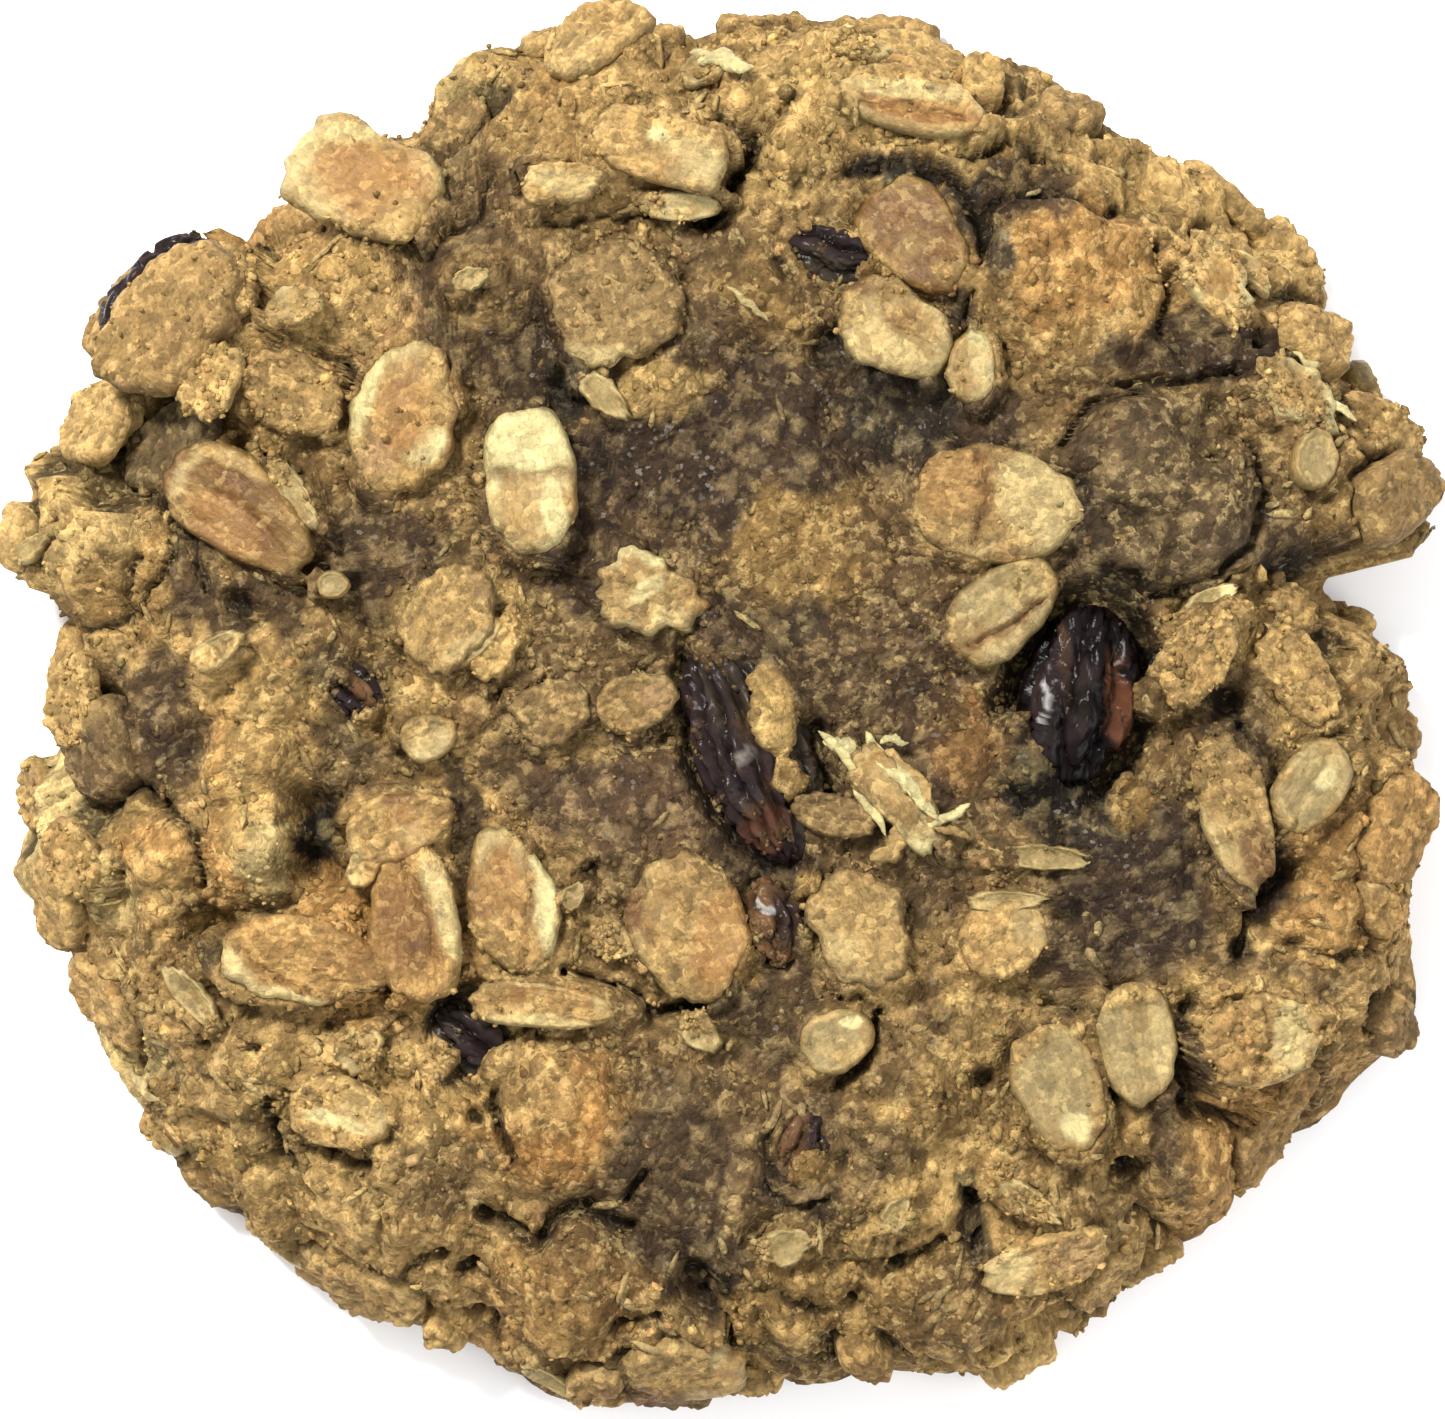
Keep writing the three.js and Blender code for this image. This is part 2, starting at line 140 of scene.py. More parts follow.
# Cracks of the crust: depth, width, then the points they run through.
CRACKS = [
    (1.7, 0.75, [(0, 31.3), (1.7, 30.5), (0.9, 29), (0.3, 28), (-0.8, 26.9), (-1.2, 26.4)]),
    (0.8, 0.4, [(-9.5, 26), (-5, 26.5), (-1, 26.5)]),
    (1.1, 0.55, [(13.8, 26.4), (15.6, 27.8), (18.4, 27.6), (20.6, 26.2), (21.4, 27.4)]),
    (0.9, 0.45, [(23.6, 25), (24.2, 22.8), (23.4, 20.4), (24.6, 18.8)]),
    (0.9, 0.4, [(13.2, 23.4), (13, 21.2), (15, 19.4)]),
    (1, 0.5, [(28.6, 14.6), (29.2, 11.6), (28.2, 8.6), (25.8, 6.6), (22.6, 6)]),
    (0.8, 0.4, [(18.2, 14.2), (19.6, 16.2), (22.8, 17)]),
    (1, 0.5, [(33.4, 19), (33.2, 16.4), (34.6, 12.6), (34.2, 9)]),
    (0.9, 0.4, [(-16.6, 25.6), (-13.4, 26.2), (-12.6, 28.4)]),
    (0.9, 0.45, [(-34.6, 4), (-32.4, 5), (-31.6, 8)]),
    (0.9, 0.4, [(-6, -33.4), (-3.6, -32.4), (-3.2, -34.8)]),
    (0.9, 0.4, [(30.6, -12.6), (32.6, -13.4), (35.6, -12.6)]),
    (0.9, 0.4, [(22.6, -27.4), (24.6, -29), (23.4, -30.8)]),
    (0.9, 0.4, [(2.2, -25.2), (3.4, -27), (5.6, -26.2)]),
    (1.2, 0.45, [(-31.5, -4.2), (-29.4, -5.6), (-27.9, -6.8), (-27.9, -9.4)]),
    (1.4, 0.55, [(-9, -14), (-5.5, -15), (-4, -16.3), (0.5, -15.5)]),
    (1.3, 0.5, [(-12.5, -18), (-12.3, -21.5), (-11.2, -24)]),
    (1.5, 0.65, [(-13, -27.3), (-11.5, -28), (-9.8, -28.6), (-8.8, -27), (-7.2, -26.8), (-5, -28)]),
    (1.1, 0.45, [(-5.3, -26.3), (-4.3, -24.8)]),
    (1.2, 0.45, [(-1, -32.3), (0, -33), (0.6, -34.8)]),
    (1.1, 0.45, [(3.3, -31.5), (5, -32.3), (7, -32)]),
    (1.2, 0.45, [(9.3, -30.2), (12, -28.8)]),
    (1.1, 0.4, [(-17, -30), (-15, -29.2)]),
    (1.1, 0.45, [(-23, -22.3), (-20.8, -24), (-19, -24.5)]),
    (1.1, 0.45, [(-24.5, -21), (-24, -24), (-22, -26)]),
    (1.2, 0.5, [(25.5, -21.5), (28, -22.5)]),
    (1.2, 0.5, [(8.3, -16.5), (7.5, -19), (6.3, -20.3)]),
    (1.2, 0.45, [(29, -20.5), (31.5, -19.8)]),
    (1.2, 0.5, [(28, -1), (29, -3.5), (27.5, -7)]),
    (0.8, 0.4, [(-21.6, 19.2), (-20, 18.2), (-19.6, 13)]),
    (1.2, 0.5, [(-30.2, 12.3), (-29.5, 8.5), (-31.5, 5)]),
    (1.1, 0.45, [(21, 17.5), (25, 17.6), (29, 18.6)]),
    (1, 0.4, [(12.5, 29.6), (16, 30.6), (19, 29)]),
    (1, 0.4, [(30.5, 5), (32.5, 7.5), (34.5, 7.3)]),
    (1, 0.4, [(-16, -33), (-12.5, -32.8), (-12, -35)]),
    (1.3, 0.7, [(7, 28.9), (10.3, 29.2), (12.8, 28), (13.9, 26), (13.8, 24)]),
    (1.2, 0.6, [(24.8, -16), (24.6, -19.4), (25, -21.8)]),
    (1.1, 0.5, [(28.6, -6.8), (30, -8.6), (28.4, -11), (28, -13.2)]),
    (1.1, 0.5, [(-30, 12.8), (-28.6, 9.4), (-27.6, 6.2)]),
]

# ---- Colours, as sRGB values, and where they lie on the dough ------------------------------------

PALETTE = {
    "tan": (192, 155, 97),
    "gold": (213, 175, 108),
    "orange": (196, 142, 78),
    "ochre": (161, 127, 75),
    "brown": (100, 77, 52),
    "grey_tan": (106, 86, 59),
    "dark": (71, 53, 37),
    "plum": (90, 67, 50),
    "slate": (59, 51, 40),
    # The next colour is painted shade, for crevices, hollows, pits, cracks and gaps.
    "painted_shade": (33, 24, 14),
    "cream": (238, 211, 144),
    "bright": (255, 237, 168),
    "olive": (199, 172, 110),
    "pale": (196, 171, 114),
    "toast": (188, 138, 76),
    "nut": (160, 116, 62),
    "rose": (194, 154, 108),
    "bark": (128, 88, 50),
    "foot": (148, 108, 62),
    "raisin": (18, 12, 12),
    "wine": (104, 64, 42),
    "amber": (112, 82, 54),
    "violet": (46, 36, 36),
    # The next two colours are painted highlights, for specks on the moist dough and spots and lines on the
    # raisins.
    "painted_glint": (176, 166, 154),
    "painted_highlight": (240, 236, 230),
}

# The light is bright enough to burn out the pale floor, so a surface is this much darker than it shows.
OWN_SHARE = 0.52

# Tones laid over the dough's base colour in turn: colour, x, y, half sizes, turn in degrees, strength.
# Most are the dough's own colours. The patches in the darkest colour are painted shade in hollows, pits,
# cracks and gaps by flakes and raisins; the three by the right raisin, at (15.9, -3), (17.3, -4.2) and
# (16.8, -6.6), are partly its dark wrinkled fringe and partly painted shade. The slate patches over the
# hollows, pits and cracks at (-8.3, 17.3), (9.6, 15.8), (6, 19.3), (-21.6, -7.6), (-28.8, 14.2),
# (-29.4, 13.9) and from (8.8, 28.9) to (14, 25.6) are painted shade too. The gold and cream patches round
# (-24.6, -8.2), (-26, 20), (-28.4, 16.6), (-34, 12.6), (-31.2, -18.6) and (-33, -10) are painted light
# that lifts places the lamps leave in shade.
PATCHES = [
    ("ochre", 33.5, -9, 5, 5, 0, 0.8), ("ochre", 8, -33, 10, 4, 0, 0.9), ("ochre", 17, 19, 4, 3, 0, 0.6),
    ("ochre", 35.5, 13, 3.5, 5, 0, 0.4), ("cream", -37, -5, 2.4, 5, 0, 0.45),
    ("gold", 24, 28.6, 8, 3, -42, 0.5), ("brown", 2, 6, 17, 21, 15, 0.8), ("brown", 10, 1, 5, 6, 0, 0.8),
    ("brown", 22, -6, 8, 9, 0, 0.6), ("brown", -4, -24, 7, 9, 0, 0.55),
    ("brown", -13, 25.4, 6, 4.6, -30, 0.5), ("brown", -20, 7, 8, 6, -35, 0.5),
    ("brown", 25, 15, 9, 5, -10, 0.5), ("dark", -13.6, 28.6, 2.8, 2.6, -30, 0.5),
    ("dark", -13, 21.8, 4, 4.6, 10, 0.8), ("dark", -9.6, 19, 2.4, 3.6, 20, 0.8),
    ("dark", -1.5, 13.4, 8, 2.8, 6, 1), ("dark", 3.6, 17.4, 3.6, 3, 0, 0.9),
    ("dark", 13, 15.2, 3.6, 2, 10, 0.8), ("dark", -7.6, 9.4, 2.1, 4.6, 0, 0.9),
    ("dark", 25.4, 18.7, 5.4, 1.8, -6, 0.9), ("dark", 21, 15.8, 2.4, 1.2, -20, 0.6),
    ("dark", 29, 8.7, 4.4, 1.9, 6, 0.9), ("dark", 20, 7.6, 2.6, 2, 0, 0.7),
    ("dark", -18.8, 8.2, 3.8, 2.4, -40, 0.8), ("dark", -31, -0.4, 2.4, 4.4, 0, 0.8),
    ("plum", -5, -5.2, 5.2, 2.7, -5, 0.65), ("dark", 5.4, 2.4, 3, 3.4, 0, 0.5),
    ("dark", 11, -0.4, 3.4, 5, 10, 0.5), ("dark", 22, -9.4, 4.8, 5.4, 20, 1),
    ("slate", 19, -5.6, 3.6, 2.2, 10, 0.6), ("dark", 1.6, -8.8, 2.2, 3, 10, 0.8),
    ("dark", 2.6, -15.6, 2, 4, 0, 0.8), ("dark", -2.4, -25, 3.4, 5.4, 10, 0.8),
    ("dark", 5, -21.6, 2.2, 3, 0, 0.6), ("dark", -1.2, -29.6, 3, 2, 0, 0.8),
    ("dark", 16.6, 28, 3, 1.3, -10, 0.8), ("dark", 11.6, -16.4, 2, 2.2, 0, 0.6),
    ("dark", 27.6, -1, 1.6, 3, -10, 0.7), ("dark", -19, -1, 3.4, 3.4, 0, 0.6),
    ("dark", -24.6, 5.6, 2.4, 1.4, -40, 0.7), ("dark", -10, -3.4, 2.4, 1.6, 0, 0.5),
    ("dark", 11.4, -9.4, 1.8, 2.4, 0, 0.5), ("grey_tan", 23.1, 11.2, 6, 5.4, 0, 1),
    ("grey_tan", -21.2, -2.4, 2.4, 3, 0, 0.6), ("ochre", -12.4, 22.8, 2.6, 2, 20, 0.5),
    ("ochre", 4.4, 8.8, 4.3, 3.3, 0, 0.9), ("dark", 4.6, 13.5, 5.4, 1.5, -4, 0.9),
    ("ochre", 2, 22, 2.2, 3.2, 10, 0.7), ("grey_tan", -0.9, 25, 2.4, 1.6, 0, 0.5),
    ("gold", -3.4, 17.2, 3.2, 1.9, 0, 0.8), ("gold", -14.6, 4.6, 3.6, 3, 0, 0.5),
    ("gold", 3.5, 28.6, 2.4, 1.7, 0, 0.5), ("orange", 18.5, 24, 4, 3, 0, 0.55),
    ("orange", -29.6, -9, 3.6, 3.2, 0, 0.5), ("orange", -25.2, -3, 2.2, 6.6, -3, 0.45),
    ("gold", -25.6, 1.4, 2.6, 2.6, 0, 0.6), ("orange", -9.4, -22, 3.8, 3.8, 0, 0.5),
    ("orange", -8.4, -31, 4.4, 3.4, 0, 0.3), ("orange", 34, -9, 4.4, 4.4, 0, 0.35),
    ("orange", 30, -25, 7, 6, 40, 0.4), ("orange", -22.4, 23.4, 3.6, 2.6, -20, 0.3),
    ("orange", -35, 11.6, 4.6, 5.6, 0, 0.4), ("rose", -18.6, 20.6, 2.6, 1.6, 0, 0.4),
    ("orange", 12.5, -1.4, 2, 3, 0, 0.4), ("gold", 8, 33.6, 6, 3, -10, 0.4),
    ("gold", -21, -22, 6, 4.6, -20, 0.4), ("slate", -8.3, 17.3, 1.6, 2.2, 10, 1),
    ("slate", 9.6, 15.8, 3, 3, 0, 0.9), ("slate", 6, 19.3, 2, 1.3, -20, 0.9),
    ("slate", -21.6, -7.6, 1.2, 2.9, 0, 1), ("slate", -28.8, 14.2, 1.4, 0.9, -10, 0.9),
    ("slate", 3.6, 4.8, 2.2, 1.4, -30, 0.5), ("painted_shade", -1.6, -31.3, 1.5, 1, -10, 1),
    ("painted_shade", 13.6, -27.6, 1.2, 2.6, 8, 0.9), ("painted_shade", -9.9, 34.5, 0.8, 0.7, 0, 0.8),
    ("painted_shade", -27.5, -12.4, 0.7, 1.4, 0, 0.7), ("slate", -14.2, -16.8, 2, 1.7, -20, 0.9),
    ("painted_shade", 22.1, -25.2, 1, 1.2, 0, 0.7), ("painted_shade", 5.6, -4.2, 0.5, 1.8, 35, 0.9),
    ("painted_shade", 16.8, -6.6, 1, 1, 0, 0.7), ("slate", -19.8, 0.2, 0.9, 2, 10, 0.6),
    ("dark", -28.8, 8.8, 1.5, 3.4, 20, 0.8), ("gold", -24.8, -7.6, 1.5, 3.2, 5, 0.7),
    ("slate", 8.8, 28.9, 2.8, 0.8, 5, 0.9), ("slate", 12.8, 28.2, 1.6, 1.2, -40, 0.9),
    ("slate", 14, 25.6, 0.9, 2.4, 0, 0.9), ("slate", 12.1, 20.8, 1, 1.3, 0, 0.8),
    ("dark", 0.6, 19.6, 3, 1.6, -10, 0.6), ("dark", 19.7, 12.6, 0.9, 2, 0, 0.6),
    ("painted_shade", 22.8, 3.7, 0.7, 1.6, 0, 0.9), ("painted_shade", 17.3, -4.2, 1.7, 2.3, 12, 1),
    ("dark", 0.4, 4.4, 2.6, 1.4, -20, 0.9), ("dark", 2.6, -8.4, 2.6, 1.3, -20, 0.9),
    ("painted_shade", 5, -11, 0.7, 2.8, 10, 0.8), ("dark", -16.4, 7.7, 1.9, 1.5, -30, 0.7),
    ("gold", -12.4, 4.4, 1.8, 2.4, 0, 0.8), ("painted_shade", -13.6, -5.4, 0.8, 2.2, 10, 0.8),
    ("painted_shade", -20.9, -5.2, 0.8, 1.2, 0, 0.7), ("brown", 4, -24.6, 4.8, 4.4, 0, 0.7),
    ("dark", 4.2, -25.8, 2, 1.4, 0, 0.7), ("dark", 8.2, -24, 1.4, 1.8, 0, 0.5),
    ("dark", 8.6, -19, 1.6, 2.2, 20, 0.6), ("painted_shade", 12.9, -25.7, 1.2, 1, 0, 0.9),
    ("dark", 18.2, -14.4, 1.6, 2.4, 20, 0.8), ("dark", 24.7, -19.4, 0.9, 3.4, 5, 0.9),
    ("dark", 24, -24.5, 1, 1.8, 0, 0.7), ("painted_shade", 28, -13, 1, 1, 0, 0.9),
    ("dark", 29.4, -8.4, 1, 1.6, 20, 0.9), ("dark", 31.4, -14.3, 1.7, 0.7, -30, 0.7),
    ("dark", 26.6, -6.2, 0.8, 1.8, 0, 0.6), ("dark", 34.4, 9, 0.9, 1, 0, 0.6),
    ("gold", -31.2, -18.8, 1.8, 2.4, 0, 0.7), ("gold", -32.8, -9.4, 1.6, 1.8, 0, 0.6),
    ("orange", -28.6, -10.6, 1.4, 1.4, 0, 0.5), ("gold", -34.6, 2.2, 2.4, 1.8, 0, 0.5),
    ("brown", -5, -36.4, 2.8, 1.4, 0, 0.6), ("brown", 5.4, -35.6, 3, 1.4, 0, 0.7),
    ("dark", -2.2, -32, 1.7, 1, 0, 0.8), ("brown", -11, -34.4, 1.4, 1.6, 0, 0.5),
    ("gold", 13.4, -35, 3, 1.2, 0, 0.5), ("brown", 32, -20.8, 1.5, 2.8, -40, 0.6),
    ("brown", 36.2, -16.6, 1.5, 1.6, 0, 0.6), ("brown", 17.4, 33, 2.6, 1.2, -30, 0.4),
    ("gold", 14.4, 31, 1.6, 1.4, 0, 0.7), ("gold", -35, 11, 4, 5, 0, 0.5),
    ("gold", -20.7, 22.6, 3.4, 3, 0, 0.5), ("gold", -36, -5, 2.4, 4.6, 0, 0.5),
    ("dark", -2, 13.2, 6, 2, 6, 0.7), ("brown", 9.6, 1.6, 4, 4.4, 0, 0.7),
    ("slate", -29.4, 13.9, 1.2, 0.8, -20, 0.8), ("dark", -29, -0.8, 1.8, 3.4, 0, 0.8),
    ("slate", 9.6, 28.4, 2, 0.7, 0, 0.9), ("dark", 16.6, 27, 2.4, 0.9, -10, 0.8),
    ("dark", 19.6, 11.6, 0.9, 2.6, 0, 0.8), ("brown", 31, 20, 1.6, 1.2, 0, 0.7),
    ("dark", 28.4, -8.6, 1.1, 2, 20, 0.9), ("brown", 28.4, -13.8, 2.4, 1, 0, 0.7),
    ("brown", 12, -32, 3.2, 2, 0, 0.6), ("brown", -15, -25, 2.8, 2, 0, 0.6),
    ("brown", 31.6, -22.4, 2.4, 1.2, 30, 0.6), ("brown", -4.6, -37, 2.6, 1, 0, 0.7),
    ("painted_shade", -13.7, -8.6, 0.7, 3.4, 8, 0.8), ("dark", 16.2, -1.8, 0.8, 1.4, 0, 0.7),
    ("gold", -34, 18, 2, 1.4, 0, 0.8), ("gold", -28, 17.4, 1.4, 2.6, -20, 0.8),
    ("gold", -22, 20, 1.5, 1.5, 0, 0.8), ("gold", -22.2, 1.8, 1.4, 1.4, 0, 0.7),
    ("gold", -24.4, -5, 1.6, 5.6, -4, 0.7), ("gold", -29.6, -11, 2.2, 1.4, 0, 0.6),
    ("gold", -31.6, -18.6, 1.8, 2.2, 0, 0.8), ("gold", -16.4, 0.8, 2.6, 1.2, 0, 0.6),
    ("gold", 29.6, 26, 2.4, 1.4, -40, 0.6), ("gold", 13.6, 29.6, 1.6, 1.2, 0, 0.6),
    ("gold", 14, 8.6, 3.4, 0.8, 0, 0.6), ("gold", 21.8, -2.6, 2.8, 0.9, 40, 0.6),
    ("gold", 12.8, -17, 1.2, 1.8, 0, 0.7), ("toast", -19, -12, 6, 4, 0, 0.8),
    ("cream", -36.6, -4.8, 2, 3.6, 0, 0.6), ("cream", -35, 11, 3.6, 4.4, 0, 0.3),
    ("dark", -1.8, 13, 6.4, 2.6, 10, 0.8), ("brown", 8.6, 7, 2.2, 5, 10, 0.6),
    ("dark", 10, 0.6, 3, 3.6, 0, 0.35), ("gold", -34, 12.8, 3, 2.2, 0, 0.6),
    ("gold", -14.2, 33.4, 2.4, 1.8, 0, 0.8), ("dark", -27.4, 5.4, 2.2, 1.6, -30, 0.8),
    ("cream", -24.5, -8.8, 1.3, 2.8, 0, 0.7), ("cream", -33, -10, 1.6, 1.8, 0, 0.5),
    ("cream", -31.2, -18.4, 2, 2, 0, 0.5), ("dark", 23.5, -22, 0.9, 2, 0, 0.8),
    ("dark", 16.2, -16.8, 1, 1, 0, 0.7), ("dark", 0.2, -14, 1.4, 3.4, 0, 0.6),
    ("brown", 1.4, -20, 2.2, 2, 0, 0.6), ("brown", -5.4, -9.4, 1.6, 3, 0, 0.5),
    ("tan", -17, -17.6, 5, 2, -10, 0.6), ("dark", 35.2, 11, 0.9, 1.6, 0, 0.5),
    ("gold", 15.3, 32.4, 1.8, 2.2, 0, 0.6), ("gold", 30.6, 24.4, 2.2, 1.4, -50, 0.6),
    ("dark", 30.4, 19.4, 1.6, 0.9, 0, 0.7), ("gold", -22.3, 1.6, 1.5, 1.6, 0, 0.7),
    ("gold", -35, 12, 3.4, 2.4, 0, 0.5), ("dark", -2.6, 10, 3.6, 2.4, 10, 0.55),
    ("dark", 9.2, 12.4, 1.9, 1, 0, 0.6), ("painted_shade", 15.9, -3, 0.8, 1.6, 0, 0.8),
    ("brown", 20.8, -28.2, 3.2, 1, 35, 0.6), ("orange", -9.6, -22.6, 3, 2.6, 0, 0.6),
    ("orange", -29.8, -9.2, 2.8, 2.6, 0, 0.6), ("gold", -37, 12.4, 1.6, 3, 0, 0.6),
    ("dark", -0.6, 11.6, 3, 1.6, 0, 0.6), ("brown", -3, -35, 3, 1.4, 0, 0.6),
    ("brown", -10.4, -36.4, 1.6, 1.2, 0, 0.7), ("gold", 28.6, 26.4, 1.9, 1.3, -45, 0.7),
    ("gold", 15.6, -35, 2, 1.3, 15, 0.7), ("gold", 28.6, -24.8, 1.5, 1.4, 0, 0.7),
    ("cream", -14.2, 33.4, 1.9, 1.5, 0, 0.5), ("gold", -26, 20, 1.6, 3.4, -15, 0.8),
    ("gold", -28.4, 16.6, 2, 1.5, 0, 0.8), ("gold", -32.6, 16.2, 1.6, 2.2, 0, 0.8),
    ("gold", -34, 12.4, 2.4, 1.7, 0, 0.8), ("gold", 9, 31, 5, 0.9, -5, 0.6),
    ("tan", -13.8, 12.4, 1.2, 3, 0, 0.5), ("gold", 2, 29, 1.8, 1.8, 0, 0.6),
    ("cream", -31, -18.4, 2, 1.6, 0, 0.5), ("gold", -19, -19, 3, 1.6, 0, 0.5),
    ("gold", -8, -1.9, 2.2, 1.2, 0, 0.5), ("gold", -29.4, -9.4, 2.4, 2.4, 0, 0.6),
    ("dark", -1.4, 13.2, 3, 1.8, 0, 0.6), ("toast", -9, -21.8, 2.8, 2.4, 0, 0.4),
]
DARK_TONES = ("dark", "plum", "slate", "painted_shade")

# Crumb baked over parts of the raisins, in the manner of the patches.
COVERS = [
    ("gold", 2.6, -0.2, 1.3, 2.5, 12, 1), ("ochre", 3.6, -3.6, 1, 1.1, 0, 1),
    ("ochre", 21.9, -5, 1.2, 1.5, 0, 1), ("ochre", 4.6, -9.6, 0.8, 0.9, 0, 1),
    ("ochre", 1, -13.8, 1.1, 0.9, 0, 1), ("tan", -10.3, -20.2, 2.9, 2.5, -40, 0.8),
    ("tan", -15.4, -18.8, 1.3, 1.1, 0, 1), ("ochre", 8.2, 23.4, 1.1, 0.9, 0, 1),
    ("grey_tan", -21.2, 2.2, 1.3, 1.2, 0, 1), ("ochre", -18.4, -0.8, 1.2, 1, 0, 1),
    ("ochre", 4.8, -24.6, 1.3, 1, 0, 1),
]
COVER_HEIGHT = 0.35

# ---- Oat flakes ----------------------------------------------------------------------------------

Look = namedtuple("Look", "middle rim stain ground coat torn crease taper rim_width lean thickness square")

# The looks of a flake: colours of its middle, its rim and its stains, share of the dough's own colour,
# share of crumb on it, raggedness of its edge, crease depth, taper of one end, width of the rim as a share,
# how far the rim's colour spreads over one end, thickness, and how square its outline is (2 is an oval).
LOOKS = {
    "golden": Look("gold", "cream", "toast", 0.1, 0.5, 0.1, 0.05, 0.1, 0.16, 0.05, 1.4, 2.1),
    "slab": Look("gold", "cream", "toast", 0, 0.45, 0.1, 0, 0.05, 0.24, 0.1, 1.7, 3.4),
    "toasted": Look("toast", "cream", "bark", 0.1, 0.5, 0.06, 0.14, 0.12, 0.16, 0.1, 1.5, 2.1),
    "nutty": Look("nut", "gold", "bark", 0, 0.3, 0.05, 0.1, 0.2, 0.12, 0.05, 1.6, 2.2),
    "bright": Look("gold", "bright", "toast", 0, 0.3, 0.06, 0.1, 0.08, 0.28, 0.25, 1.6, 2.3),
    "smooth": Look("pale", "gold", "olive", 0.05, 0.3, 0.05, 0.1, 0.15, 0.2, 0.2, 1.5, 2.2),
    "half": Look("gold", "cream", "toast", 0.15, 0.7, 0.1, 0.05, 0.1, 0.2, 0.6, 1.6, 2.3),
    "crumbed": Look("gold", "cream", "toast", 0.4, 0.85, 0.14, 0, 0.1, 0.16, 0.1, 1.4, 2.3),
    "dusty": Look("grey_tan", "olive", "brown", 0.45, 0.8, 0.12, 0, 0.05, 0.14, 0.1, 1.5, 2.2),
    "torn": Look("gold", "bright", "toast", 0.05, 0.5, 0.25, 0, 0.2, 0.3, 0.3, 1.1, 2),
    "chunk": Look("gold", "cream", "toast", 0.1, 0.7, 0.18, 0, 0.1, 0.2, 0.1, 1.8, 2.6),
    "crust": Look("tan", "gold", "foot", 0.8, 0.98, 0.12, 0, 0.05, 0.1, 0.05, 3.4, 2.4),
    "caked": Look("toast", "cream", "bark", 0.1, 0.85, 0.08, 0, 0.12, 0.22, 0.1, 1.6, 2.1),
    "sliver": Look("olive", "cream", "ochre", 0.1, 0.3, 0.16, 0.1, 0.25, 0.3, 0.1, 0.9, 1.9),
}

